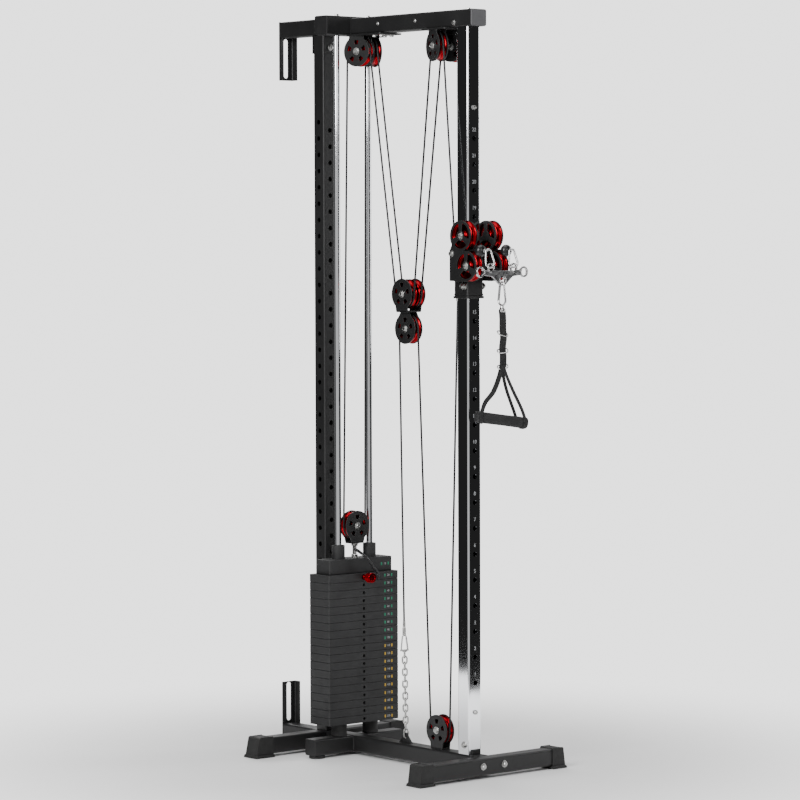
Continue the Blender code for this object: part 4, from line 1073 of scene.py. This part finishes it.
head_low, head_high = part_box("stack_header")
block_top = 0.6031
openings = [arc((side * rod_x, 0), 0.0103, 0, 345, 23) for side in (-1, 1)]
pieces = [slab("header_block", round_box(head_high.x - head_low.x, head_high.y - head_low.y, 0.004),
               openings, block_top - head_low.z,
               axes((0, stack_y, (block_top + head_low.z) / 2), (1, 0, 0), (0, 1, 0)), cast, 0.0016, 3)]
for side in (-1, 1):
    pieces.append(lathe("sleeve", [(0.0103, block_top - 0.002), (0.0200, block_top - 0.002),
                                   (0.0200, head_high.z - 0.0015), (0.0188, head_high.z),
                                   (0.0115, head_high.z), (0.0103, head_high.z - 0.001)], cast,
                        Matrix.Translation((side * rod_x, stack_y, 0)), 48))
    pieces.append(lathe("bush", [(0.0100, head_high.z - 0.001), (0.0128, head_high.z - 0.001),
                                 (0.0126, head_high.z + 0.0012), (0.0100, head_high.z + 0.0012)],
                        plug_look, Matrix.Translation((side * rod_x, stack_y, 0)), 36))
fit(merged("header", pieces), "carriage", "coated_weight", "stack_header")

stem_low, stem_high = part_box("selector_stem")
stem = lathe("stem", [(0, stem_low.z), (0.0105, stem_low.z), (0.0125, stem_low.z + 0.002),
                      (0.0125, stem_high.z), (0, stem_high.z)], chrome,
             Matrix.Translation((0, stack_y, 0)), 40)
drilled(stem, [((0, stack_y - 0.02, STACK_BASE + PLATE_TALL * (k + 0.5)),
                (0, stack_y + 0.02, STACK_BASE + PLATE_TALL * (k + 0.5))) for k in range(PLATES)],
        0.0056, 16)
fit(stem, "carriage", "chrome_plate", "selector_stem")

green_ink = Look("green_label", (0.006, 0.20, 0.10), 0.5)
green_ink.tint(green_ink.noise(400.0), (0.005, 0.17, 0.085), (0.008, 0.22, 0.115))
yellow_ink = Look("yellow_label", (0.50, 0.30, 0.02), 0.5)
yellow_ink.tint(yellow_ink.noise(400.0), (0.44, 0.26, 0.016), (0.56, 0.34, 0.03))


def weight_label(name, amount, front, middle, z, look):
    """The weight between two coloured marks, stuck to the front of a plate."""
    pieces = [slab(name + "_mark", round_box(0.0050, 0.0090, 0.0008), [], 0.0003,
                   axes((middle + shift, front - 0.00012, z), (1, 0, 0), (0, 0, 1)), look, 0.00005)
              for shift in (-0.0135, 0.0135)]
    pieces.append(printed(name + "_number", amount, 0.0068,
                          axes((middle, front - 0.0001, z), (1, 0, 0), (0, 0, 1)), ink))
    return pieces


labels = []
for number in range(PLATES - 1):
    colour = green_ink if number >= 10 else yellow_ink
    labels += weight_label(f"label{number}", str(10 * (PLATES - number + 1)), plate_front, 0.0975,
                           STACK_BASE + (number + 0.5) * PLATE_TALL, colour.material)
fit(merged("plate_labels", labels), "tower", "coated_weight")
labels = weight_label("label_selected", "20", plate_front, 0.0975, STACK_TOP - PLATE_TALL / 2,
                      green_ink.material)
labels += weight_label("label_header", "10", head_low.y, 0.0955, 0.581, green_ink.material)
fit(merged("moving_labels", labels), "carriage", "coated_weight")


# ---------------------------------------------------------------- stack pulley and selector pin
# A fork over the header holds the sheave that evens out the two sides. The anodised pin picks the
# plates and hangs on a coiled lanyard from the neck.

neck_foot = block_top + 0.0003
bridge = 0.652
pieces = [lathe("neck_stud", [(0, neck_foot), (0.0068, neck_foot)]
                + [(0.0068 if k % 2 else 0.0061, neck_foot + 0.002 + 0.0012 * k) for k in range(36)]
                + [(0.0065, bridge - 0.002), (0, bridge - 0.002)], zinc,
                Matrix.Translation((0, STACK_SHEAVE.y, 0)), 32)]
pieces += hex_head("neck_nut", (0, STACK_SHEAVE.y, neck_foot), (0, 0, 1), 0.0185, 0.009)
pieces += hex_head("lock_nut", (0, STACK_SHEAVE.y, bridge - 0.004), (0, 0, -1), 0.0185, 0.007)
pieces.append(slab("fork_bridge", round_box(0.048, 2 * (CHEEK_IN + CHEEK), 0.002), [], 0.006,
                   axes((0, STACK_SHEAVE.y, bridge - 0.001), (1, 0, 0), (0, 1, 0)), powder, 0.0006, 2))
pieces += fork("stack", STACK_SHEAVE, pi / 2, bridge - 0.002 - STACK_SHEAVE.z, 0.024)
fit(merged("stack_fork", pieces), "carriage", "black_powder_coat", "stack_pulley_bracket")

PIN_Z = STACK_TOP - PLATE_TALL / 2
pin_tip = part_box("selector_pin")[1].y - plate_front
pin_line = [(0, -pin_tip), (0.0030, -pin_tip), (0.0045, 0.002 - pin_tip), (0.0045, 0.0003),
            (0.0084, 0.0003), (0.0090, 0.0010), (0.0090, 0.0092), (0.0084, 0.0100), (0.0050, 0.0100),
            (0.0050, 0.0190), (0.0120, 0.0190), (0.0150, 0.0205), (0.0155, 0.0220)]
for k in range(8):
    pin_line += [(0.0155, 0.0228 + 0.0020 * k), (0.0149, 0.0233 + 0.0020 * k),
                 (0.0149, 0.0239 + 0.0020 * k), (0.0155, 0.0244 + 0.0020 * k)]
pin_line += [(0.0155, 0.0402), (0.0143, 0.0416), (0.0090, 0.0420), (0.0082, 0.0410), (0, 0.0410)]
pin = lathe("pin_and_knob", pin_line, red_look, steps=64, smooth=30)
pin.matrix_world = facing((0, plate_front, PIN_Z), (0, -1, 0))
fit(pin, "selector_pin", "red_anodised", "selector_pin")

lanyard_look = Look("lanyard_plastic", (0.012, 0.012, 0.013), 0.35)
lanyard_look.rough(lanyard_look.noise(200.0), 0.28, 0.42)
lanyard_look.relief(lanyard_look.noise(700.0), 0.0001, 0.3)
lanyard_look = lanyard_look.material
LANYARD_WIRE, LANYARD_COIL, LANYARD_PITCH = 0.0028, 0.0036, 0.0036


def coiled(points, lead=0.006):
    """A helix drawn round a smooth line, straight for a short way at each end."""
    line = eased(points, 24)
    lengths = [0.0]
    for a, b in zip(line, line[1:]):
        lengths.append(lengths[-1] + (b - a).length)
    whole = lengths[-1]
    along, side = None, None
    path = []
    count = int((whole - 2 * lead) / LANYARD_PITCH * 14)
    k = 0
    for i in range(count + 1):
        at = lead + (whole - 2 * lead) * i / count
        while k < len(lengths) - 2 and lengths[k + 1] < at:
            k += 1
        t = (at - lengths[k]) / (lengths[k + 1] - lengths[k])
        point = line[k].lerp(line[k + 1], t)
        along = (line[k + 1] - line[k]).normalized()
        side = along.orthogonal() if side is None else side - along * side.dot(along)
        side.normalize()
        turn = 2 * pi * i / 14
        swell = LANYARD_COIL * min(1.0, i / 14, (count - i) / 14)
        path.append(point + (side * cos(turn) + along.cross(side) * sin(turn)) * swell)
    return [line[0]] + path + [line[-1]]


lanyard_line = [(-0.009, 0.186, 0.632), (-0.015, 0.150, 0.624), (0.004, 0.138, 0.604),
                (0.020, 0.128, 0.578), (0.031, 0.120, 0.559), (0.026, 0.114, 0.548),
                (0.014, 0.112, 0.5455)]
lanyard_path = coiled([Vector(p) for p in lanyard_line])
lanyard = sweep("pin_lanyard", lanyard_path, round_section(LANYARD_WIRE / 2, 8), lanyard_look)
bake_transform(lanyard)


# ---------------------------------------------------------------- pulley carriage
# A collar of folded steel slides on the column and a spring pin locks it in a hole. Pairs of
# windowed cheeks bolt to its sides and hold two sheaves each.

COLLAR_OUT, COLLAR_BORE, COLLAR_Z = 0.0311, 0.0256, (1.404, 1.560)
collar_front = column_y - COLLAR_OUT
pieces = [slab("collar", round_box(2 * COLLAR_OUT, 2 * COLLAR_OUT, 0.007),
               [round_box(2 * COLLAR_BORE, 2 * COLLAR_BORE, 0.0058)], COLLAR_Z[1] - COLLAR_Z[0],
               axes((0, column_y, sum(COLLAR_Z) / 2), (1, 0, 0), (0, 1, 0)), powder, 0.0007, 2)]
for z, wide, tall in ((1.4073, 0.0341, 0.0070), (1.4150, 0.0326, 0.0050)):
    pieces.append(slab("collar_lip", round_box(2 * wide, 2 * wide, 0.008),
                       [round_box(2 * COLLAR_BORE, 2 * COLLAR_BORE, 0.0058)], tall,
                       axes((0, column_y, z), (1, 0, 0), (0, 1, 0)), powder, 0.0008, 2))
liner = slab("collar_liner", round_box(2 * COLLAR_BORE + 0.0006, 2 * COLLAR_BORE + 0.0006, 0.006),
             [round_box(0.0506, 0.0506, 0.0062)], 0.150,
             axes((0, column_y, sum(COLLAR_Z) / 2 + 0.0025), (1, 0, 0), (0, 1, 0)), plug_look, 0.0001)
pieces.append(liner)
pieces.append(lathe("boss", [(0.0055, -0.001), (0.0110, -0.001), (0.0110, 0.0165), (0.0098, 0.0180),
                             (0.0055, 0.0180)], powder, facing((0, collar_front, 1.490), (0, -1, 0)), 40))
pieces.append(slab("down_lug", softened([(column_y + COLLAR_OUT - 0.001, 1.416), (-0.276, 1.420),
                                         (-0.276, 1.444), (column_y + COLLAR_OUT - 0.001, 1.444)], 0.004),
                   [arc((-0.286, 1.431), 0.0042, 0, 340, 17)], 0.008,
                   axes((0, 0, 0), (0, 1, 0), (0, 0, 1)), powder, 0.0008, 2))


def side_windows(spot):
    """Three wide openings that leave a spoke above an axle and one to each side below it."""
    loops = []
    for a, b in ((-14, 77), (103, 194), (225, 315)):
        wedge = arc(spot, 0.0374, a, b, 20) + arc(spot, 0.0150, b - 10, a + 10, 9)
        loops.append(softened(wedge, 0.006))
    return loops


side_rear = column_y + 0.011
figure = [(side_rear, TROLLEY_LOW[1] - 0.0438)]
figure += arc(TROLLEY_LOW, 0.0448, 270, 75, 40)
figure += arc(TROLLEY_UP, 0.0448, 255, -35, 48)
figure = softened(figure + [(side_rear, TROLLEY_LOW[1] + 0.0448)], 0.002, 60)
windows = side_windows(TROLLEY_UP) + side_windows(TROLLEY_LOW)
for end, side in SIDES:
    pieces.append(slab("inner_cheek", figure, windows, CHEEK,
                       axes((side * 0.036, 0, 0), (0, 1, 0), (0, 0, 1)), powder, 0.0006, 2))
    pieces.append(slab("side_block", round_box(0.030, 0.112, 0.003), [], 0.0042,
                       axes((side * 0.0326, side_rear - 0.0165, 1.500), (0, 1, 0), (0, 0, 1)), powder,
                       0.0005))
    pieces.append(slab("outer_cheek", figure, windows, CHEEK,
                       axes((side * 0.064, 0, 0), (0, 1, 0), (0, 0, 1)), powder, 0.0007, 2))
    for stack_up in (0.0, 0.0085):
        pieces += hex_head("collar_bolt", (side * (COLLAR_OUT + stack_up), -0.350, 1.440), (side, 0, 0),
                           0.013, 0.006)
    for number, (y, z) in enumerate((TROLLEY_UP, TROLLEY_LOW, (column_y + 0.002, 1.535))):
        out = facing((side * 0.0655, y, z), (side, 0, 0))
        across = 0.015 if number < 2 else 0.012
        pieces += hex_head("side_bolt", (side * 0.0655, y, z), (side, 0, 0), across, 0.0055, tip=0.001)
        shank = 0.005 if number < 2 else 0.0062
        pieces.append(lathe("side_pin", [(0, -0.0285), (shank, -0.0285), (shank, 0.0002), (0, 0.0002)],
                            zinc, out, 28))
        if number < 2:
            for start in (-0.0279, -0.0062):
                stop = start + 0.0032
                pieces.append(lathe("side_spacer", [(0.0052, start), (0.0088, start),
                                                    (0.0088, stop), (0.0052, stop)], zinc, out, 28))
fit(merged("pulley_carriage", pieces), "trolley", "black_powder_coat", "trolley")

boss_face = 0.0180
pop_line = [(0, -0.0055), (0.0035, -0.0055), (0.0048, -0.0042), (0.0048, boss_face + 0.001),
            (0.0075, boss_face + 0.0005), (0.0120, boss_face + 0.0008), (0.0135, boss_face + 0.003)]
for k in range(6):
    pop_line += [(0.0135, boss_face + 0.004 + 0.0026 * k), (0.0128, boss_face + 0.0047 + 0.0026 * k),
                 (0.0128, boss_face + 0.0054 + 0.0026 * k), (0.0135, boss_face + 0.0061 + 0.0026 * k)]
pop_line += [(0.0135, boss_face + 0.0202), (0.0120, boss_face + 0.0220), (0, boss_face + 0.0222)]
pop = lathe("locking_pin", pop_line, plug_look, steps=48, smooth=30)
pop.matrix_world = facing((0, collar_front, 1.490), (0, -1, 0))
fit(pop, "pop_pin", "chrome_plate", "pop_pin")


# ---------------------------------------------------------------- pull bar
# A chromed flat bar with welded rings takes the handle. Snap hooks join it to the two cable ends,
# where moulded ball stops rest against the carriage.

polish = Look("polished_steel", (0.60, 0.60, 0.60), 0.14, 1.0)
polish.rough(polish.noise(120.0), 0.12, 0.26)
polish.relief(polish.noise(60.0, 2.0), 0.0003, 0.12)
polish = polish.material

BAR_Y, BAR_THICK, RING_WIRE, EXIT_Z = -0.479, 0.008, 0.005, 1.5435
BAR_RINGS = ((-0.085, 1.482, 0.016), (-0.045, 1.494, 0.014), (0.0, 1.456, 0.0145),
             (0.045, 1.494, 0.014), (0.085, 1.482, 0.016))


brushed = Look("brushed_steel", (0.58, 0.58, 0.59), 0.30, 1.0)
brushed.rough(brushed.noise(90.0), 0.24, 0.38)
brushed.relief(brushed.noise(500.0, 2.0, stretch=(0.1, 1, 1)), 0.0001, 0.3)
brushed = brushed.material


def ring_profile(outer, wire, thick):
    """Cross-section of a flat ring with rolled edges."""
    inner, h, b = outer - wire, thick / 2, 0.0014
    return [(inner, h - b), (inner + b * 0.4, h - b * 0.4), (inner + b, h), (outer - b, h),
            (outer - b * 0.4, h - b * 0.4), (outer, h - b), (outer, b - h),
            (outer - b * 0.4, b * 0.4 - h), (outer - b, -h), (inner + b, -h),
            (inner + b * 0.4, b * 0.4 - h), (inner, b - h)]


bar_frame = axes((0, BAR_Y, 0), (-1, 0, 0), (0, 0, 1))
web = softened([(-0.078, 1.473), (-0.040, 1.469), (-0.008, 1.442), (0.008, 1.442), (0.040, 1.469),
                (0.078, 1.473), (0.078, 1.490), (0.052, 1.486), (-0.052, 1.486), (-0.078, 1.490)], 0.004)
bar = slab("bar_web", web, [], BAR_THICK - 0.001, bar_frame, brushed, 0.0010, 2)
drilled(bar, [((x, BAR_Y - 0.02, z), (x, BAR_Y + 0.02, z)) for x, z, _ in BAR_RINGS],
        0.0103, 40)
pieces = [bar]
for x, z, radius in BAR_RINGS:
    pieces.append(lathe("bar_ring", ring_profile(radius, RING_WIRE, BAR_THICK), polish,
                        facing((x, BAR_Y, z), (0, -1, 0)), 56))
fit(merged("ring_bar", pieces), "pull_bar", "chrome_plate", "pull_bar")


def snap_hook(name, top, bottom, width, wire=0.0030, eye=0.55, gate_side=1, way=(0, -1, 0)):
    """A pear-shaped snap hook: bent body, straight gate with its hinge, and a swivel eye."""
    top, bottom = Vector(top), Vector(bottom)
    along = (bottom - top).normalized()
    side = (Vector(way) - along * along.dot(Vector(way))).normalized()
    flat = along.cross(side)
    long = (bottom - top).length
    big, small = width / 2, width / 2 * eye
    loop = []
    for u, v in arc((small, 0), small, 270, 90, 12):
        loop.append(top + along * (u if u > 0 else 0) + side * v)
    for u, v in arc((long - big, 0), big, 90, -90, 16):
        loop.append(top + along * u + side * v)
    body = sweep(name + "_body", loop[:], round_section(wire, 14), polish, closed=True)
    hinge = top + along * (small + (long - big - small) * 0.06) + side * gate_side * small
    latch = top + along * (long - big) + side * gate_side * big
    pieces = [body]
    gate = [hinge.lerp(latch, t / 4) for t in range(5)]
    pieces.append(sweep(name + "_gate", gate, round_section(wire * 1.16, 14), polish))
    for spot in (hinge, latch):
        pieces.append(lathe(name + "_rivet", [(0, -wire * 1.35), (wire * 0.5, -wire * 1.35),
                                              (wire * 0.5, wire * 1.35), (0, wire * 1.35)], polish,
                            facing(spot, flat), 14))
    return pieces


for end, side in SIDES:
    face = -0.457
    x = side * 0.046
    top = (x, face - 0.0125, EXIT_Z + 0.004)
    low = (x, BAR_Y - 0.0012, 1.4950)
    pieces = snap_hook(f"{end}_hook", top, low, 0.025, 0.0028, eye=0.6, way=(0.76, -0.65, 0))
    shank = [(side * TROLLEY_X, face - 0.0004, EXIT_Z), (side * 0.0485, face - 0.007, EXIT_Z + 0.001),
             (x, face - 0.0125, EXIT_Z + 0.0025)]
    pieces.append(sweep(f"{end}_shank", eased(shank, 5), round_section(0.0034, 14), polish))
    pieces.append(lathe(f"{end}_swivel", [(0, 0), (0.0058, 0), (0.0064, 0.001), (0.0064, 0.004),
                                          (0.0052, 0.005), (0, 0.005)], polish,
                        facing(shank[0], (0, -1, 0)), 32))
    fit(merged(f"{end}_cable_hook", pieces), "pull_bar", "chrome_plate", f"{end}_snap_hook")


# ---------------------------------------------------------------- handle
# A swivel snap hook carries a webbing strap with three sewn rings. The strap parts into two pairs
# of legs that loop round the end caps of a foam grip.

webbing = Look("nylon_webbing", (0.006, 0.006, 0.0065), 0.8)
webbing.rough(webbing.noise(150.0), 0.7, 0.88)
webbing.tint(webbing.noise(60.0, 4.0), (0.005, 0.005, 0.0055), (0.009, 0.009, 0.0095))
webbing.relief(webbing.wave(420.0, way="Z", distortion=0.4), 0.0003, 0.55)
webbing.relief(webbing.wave(300.0, way="X", distortion=0.4), 0.0003, 0.4)
webbing.set("Sheen Weight", 0.08)
webbing = webbing.material
thread = Look("stitching", (0.035, 0.035, 0.036), 0.7)
thread.relief(thread.noise(900.0), 0.0001, 0.4)
thread = thread.material
foam = Look("foam_grip", (0.012, 0.012, 0.0125), 0.85)
foam.rough(foam.noise(90.0), 0.78, 0.92)
foam.tint(foam.noise(35.0, 4.0), (0.010, 0.010, 0.0105), (0.016, 0.016, 0.0165))
foam.relief(foam.noise(1100.0, 3.0), 0.0004, 0.6)
foam.relief(foam.noise(40.0), 0.0006, 0.1)
foam = foam.material

hook_top = BAR_RINGS[2][1] - BAR_RINGS[2][2] + RING_WIRE + 0.0060
pieces = snap_hook("handle_hook", (0, BAR_Y, hook_top), (0, BAR_Y, 1.3850), 0.030, 0.0030, eye=0.62,
                   gate_side=-1)
pieces.append(lathe("swivel", [(0, 1.3655), (0.0085, 1.3655), (0.0100, 1.3672), (0.0100, 1.3725),
                               (0.0072, 1.3755), (0.0060, 1.3790), (0.0052, 1.3835), (0, 1.3835)],
                    polish, Matrix.Translation((0, BAR_Y, 0)), 40))
fit(merged("handle_snap", pieces), "handle", "chrome_plate", "handle_snap_hook")

grip_along = Vector((cos(radians(20)) * cos(radians(8)), -sin(radians(20)) * cos(radians(8)),
                     -sin(radians(8))))
level = Vector((cos(radians(20)), -sin(radians(20)), 0))
near = level.cross(Z_UP)
grip_mid = Vector((-0.004, BAR_Y, 1.052))
GRIP_R, GRIP_LONG = 0.0165, 0.128
half_grip = GRIP_LONG / 2
grip_line = [(0.0125, -half_grip), (0.0150, -half_grip), (0.0165, 0.0015 - half_grip)]
for k in range(1, 20):
    t = k / 20
    grip_line.append((GRIP_R - 0.0004 * sin(pi * t) ** 2, -half_grip + GRIP_LONG * t))
grip_line += [(0.0165, half_grip - 0.0015), (0.0150, half_grip), (0.0125, half_grip)]
grip = lathe("grip", grip_line, foam, steps=64)
grip.matrix_world = facing(grip_mid, grip_along)
fit(grip, "handle", "foam_grip", "handle_grip")


def ribbon(name, path, across, wide, thick=0.0018):
    """A length of flat webbing with soft edges."""
    e = thick * 0.45
    section = [(-wide / 2, -thick / 2 + e), (-wide / 2 + e, -thick / 2), (wide / 2 - e, -thick / 2),
               (wide / 2, -thick / 2 + e), (wide / 2, thick / 2 - e), (wide / 2 - e, thick / 2),
               (e - wide / 2, thick / 2), (-wide / 2, thick / 2 - e)]
    flat = Vector(across).normalized()
    normals = []
    for i in range(len(path)):
        along = (path[min(i + 1, len(path) - 1)] - path[max(i - 1, 0)]).normalized()
        normals.append(flat.cross(along).normalized())
    return sweep(name, path, section, webbing, up=normals)


def at(out, depth, z):
    """A point by its distance along the level axis, its depth towards the front and its height."""
    return Vector((0, BAR_Y, z)) + level * out + near * depth


stem_line = eased([at(0, 0.0012, 1.3680), at(0.001, 0.003, 1.345), at(0.002, 0.0005, 1.318),
                   at(0.003, 0.003, 1.290), at(0.001, 0.0, 1.262), at(0.002, 0.003, 1.236),
                   at(0.002, 0.001, 1.205)], 6)
pieces = [ribbon("strap_front", stem_line, level, 0.022, 0.0022)]
back_line = [p - near * 0.0034 + level * 0.0012 for p in stem_line]
pieces.append(ribbon("strap_back", back_line, level, 0.020, 0.0022))
for z, lean in ((1.303, -0.24), (1.253, 0.10), (1.207, 0.16)):
    middle = at(0.002, -0.0005, z)
    wide_way = (level + Z_UP * lean).normalized()
    deep_way = (near * 0.72 - Z_UP * 0.69).normalized()
    loop = [middle + wide_way * u + deep_way * v for u, v in softened(
        [(-0.0170, -0.0075), (0.0170, -0.0075), (0.0150, 0.0085), (-0.0150, 0.0085)], 0.007)]
    pieces.append(sweep("sewn_ring", loop, round_section(0.0018, 10), polish, closed=True))
    for shift in (-0.0075, 0.0075):
        stitch = [at(0.002 + 0.0095 * t, 0.0046, z + 0.011 + shift * 0.2) for t in (-1, -0.5, 0, 0.5, 1)]
        pieces.append(sweep("stitch", stitch, round_section(0.0004, 6), thread))
for number, side in enumerate((-1, 1)):
    cap_mid = grip_mid + grip_along * side * (half_grip + 0.0080)
    cap_at = cap_mid - Vector((0, BAR_Y, 0))
    out, drop = cap_at.dot(level), cap_mid.z
    wrap_r = GRIP_R + 0.0016
    front_leg = eased([at(side * 0.001, 0.005, 1.212), at(side * 0.010, 0.010, 1.180),
                       at(out * 0.42, 0.016, 1.135), at(out * 0.80, wrap_r * 1.02, drop + 0.040),
                       at(out, wrap_r, drop)], 6)
    under = [cap_mid + near * wrap_r * cos(radians(a)) - Z_UP * wrap_r * sin(radians(a))
             for a in range(15, 180, 15)]
    inward = -side * 0.013
    under = [p + grip_along * inward * (k + 1) / len(under) for k, p in enumerate(under)]
    back_leg = [p - near * 2 * (p - Vector((0, BAR_Y, p.z))).dot(near)
                + grip_along * inward * min(1.0, (1.205 - p.z) / 0.12) for p in reversed(front_leg)]
    pieces.append(ribbon(f"leg{number}", front_leg + under + back_leg, grip_along, 0.0100, 0.0018))
    pieces.append(lathe(f"cap{number}", [(0, half_grip + 0.0003), (0.0150, half_grip + 0.0003),
                                         (0.0162, half_grip + 0.0012), (0.0162, half_grip + 0.0150),
                                         (0.0150, half_grip + 0.0160), (0.0095, half_grip + 0.0160),
                                         (0.0090, half_grip + 0.0150), (0, half_grip + 0.0150)],
                        plug_look, facing(grip_mid, grip_along * side), 48))
fit(merged("strap_and_caps", pieces), "handle", "nylon_webbing", "handle_strap")


# ---------------------------------------------------------------- cables
# Steel cable, 5.5 mm across with its black jacket. One runs from each end of the pull bar over
# the sheaves to the stack, and another from the carriage round the low sheave to the anchor chain.

jacket = Look("coated_cable", (0.008, 0.008, 0.008), 0.42)
jacket.rough(jacket.noise(60.0, 3.0, stretch=(1, 1, 0.1)), 0.36, 0.50)
jacket.relief(jacket.noise(500.0, 2.0, stretch=(1, 1, 0.1)), 0.0001, 0.3)
jacket.set("Specular IOR Level", 0.35)
jacket = jacket.material
CABLE_R = 0.0029


def round_sheave(centre, across, start, end):
    """The cable's line round a sheave, in degrees from the across direction up to +Z."""
    centre, across = Vector(centre), Vector(across).normalized()
    count = max(1, ceil(abs(end - start) / 7.5))
    return [centre + CABLE_TRACK * (across * cos(a) + Z_UP * sin(a))
            for a in (radians(start + (end - start) * i / count) for i in range(count + 1))]


def cable(name, path, node):
    made = sweep(name, path, round_section(CABLE_R, 12), jacket)
    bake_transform(made)
    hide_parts(node)
    return made


depth = Vector((0, 1, 0))
rear_sheaves = {}
for end, side in SIDES:
    rear = (side * REAR_TOP[0], REAR_TOP[1], TOP_AXLE_Z)
    front = (side * FRONT_TOP[0], FRONT_TOP[1], TOP_AXLE_Z)
    rear_out = Vector((side * sin(REAR_SPLAY), cos(REAR_SPLAY), 0))
    front_in = Vector((-side * sin(FRONT_SPLAY), cos(FRONT_SPLAY), 0))
    rear_sheaves[side] = (rear, rear_out)
    lift = round_sheave(rear, rear_out, 90, 188)
    lift += round_sheave((side * BLOCK_X, BLOCK_Y, BLOCK_Z[1]), depth, 8, -188)
    lift += round_sheave(front, front_in, -8, 90)
    cable(f"{end}_long_cable", lift, f"{end}_lift_cable")
    drop = round_sheave(front, front_in, 90, 186)
    drop += round_sheave((side * TROLLEY_X, *TROLLEY_UP), depth, 6, -90)
    cable(f"{end}_front_cable", drop, f"{end}_trolley_cable")

run = round_sheave(*rear_sheaves[-1], 90, 0)
run += round_sheave(STACK_SHEAVE, (1, 0, 0), 180, 360)
run += round_sheave(*rear_sheaves[1], 0, 90)
cable("equalising_cable", run, "stack_cable")
down = [Vector((0, -0.286, 1.4285))] + round_sheave(LOW_SHEAVE, depth, 180, 270)
cable("carriage_down_cable", down, "trolley_down_cable")
chain_top = Vector((0, -0.039, 0.425))
counter = round_sheave(LOW_SHEAVE, depth, 270, 360)
counter += round_sheave((0, BLOCK_Y, BLOCK_Z[0]), depth, 180, 0) + [chain_top]
cable("anchor_cable", counter, "counter_cable")
ferrule = lathe("down_ferrule", [(0.0028, 0), (0.0046, 0), (0.0050, 0.001), (0.0050, 0.016),
                                 (0.0046, 0.017), (0.0028, 0.017)], zinc,
                facing((0, -0.286, 1.3955), (0, 0, 1)), 28)
fit(ferrule, "trolley", "zinc_plate")

ball_look = Look("stop_rubber", (0.010, 0.010, 0.0105), 0.3)
ball_look.rough(ball_look.noise(70.0), 0.22, 0.36)
ball_look.relief(ball_look.noise(500.0), 0.0002, 0.3)
ball_look = ball_look.material
for end, side in SIDES:
    lead = [Vector((side * TROLLEY_X, y, EXIT_Z + 0.001)) for y in (-0.3695, -0.3815, -0.427)]
    lead = sweep(f"{end}_lead", lead, round_section(CABLE_R, 12), jacket)
    ball = [(0, -0.0150)]
    ball += [(0.0180 * cos(radians(a)), 0.0150 * sin(radians(a))) for a in range(-75, 90, 15)]
    ball = lathe(f"{end}_ball", ball + [(0, 0.0150)], ball_look,
                 facing((side * TROLLEY_X, -0.442, EXIT_Z), (0, -1, 0)), 48)
    both = merged(f"{end}_ball_stop", [lead, ball])
    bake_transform(both)
    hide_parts(f"{end}_cable_end")


# ---------------------------------------------------------------- anchor chain
# A short zinc chain ties the end of the lower cable to the lug on the base, with a quick link at
# the lug and a snap hook at the cable, so the slack can be taken up link by link.

def chain_link(name, top, bottom, side, width, wire):
    top, bottom = Vector(top), Vector(bottom)
    along = (bottom - top).normalized()
    side = (Vector(side) - along * along.dot(Vector(side))).normalized()
    straight = (bottom - top).length / 2 - width / 2
    middle = (top + bottom) / 2
    loop = arc((straight, 0), width / 2, -90, 90, 8) + arc((-straight, 0), width / 2, 90, 270, 8)
    path = [middle + along * u + side * v for u, v in loop]
    return sweep(name, path, round_section(wire, 10), zinc, closed=True)


links_low, links_high = Vector((0, -0.0455, 0.1005)), Vector((0, -0.0405, 0.3365))
LINKS, LINK_WIRE = 13, 0.0025
pitch = (links_high - links_low).length / LINKS
run_up = (links_high - links_low).normalized()
pieces = []
for k in range(LINKS):
    low = links_low + run_up * (pitch * k - LINK_WIRE)
    high = links_low + run_up * (pitch * (k + 1) + LINK_WIRE)
    way = (cos(radians(45 + 90 * (k % 2))), sin(radians(45 + 90 * (k % 2))), 0)
    pieces.append(chain_link("link", high, low, way, 0.0135, LINK_WIRE))
pieces.append(chain_link("quick_link", (0, -0.0455, 0.1015), (0, -0.046, 0.0725), (1, 0, 0), 0.0150, 0.0021))
pieces.append(lathe("quick_nut", [(0.0022, -0.0055), (0.0042, -0.0055), (0.0042, 0.0055),
                                  (0.0022, 0.0055)], zinc, facing((0.0075, -0.046, 0.0870), (0, 0, 1)), 6))
pieces += snap_hook("chain_hook", (0, -0.0395, 0.384), (0, -0.0405, 0.3345), 0.019, 0.0022, eye=0.6,
                    way=(0.76, -0.65, 0))
pieces.append(lathe("toggle", [(0, 0.3830), (0.0042, 0.3830), (0.0052, 0.3845), (0.0052, 0.4060),
                               (0.0042, 0.4075), (0.0042, 0.4180), (0.0036, 0.4290), (0, 0.4290)],
                    zinc, Matrix.Translation((0, -0.0392, 0)), 28))
pieces.append(lathe("toggle_bar", [(0, -0.013), (0.0030, -0.013), (0.0030, -0.010), (0.0021, -0.0095),
                                   (0.0021, 0.0095), (0.0030, 0.010), (0.0030, 0.013), (0, 0.013)],
                    zinc, facing((-0.004, -0.0445, 0.3400), (0.8, -0.6, 0.1)), 20))
fit(merged("anchor_links", pieces), "tower", "zinc_plate", "anchor_chain")
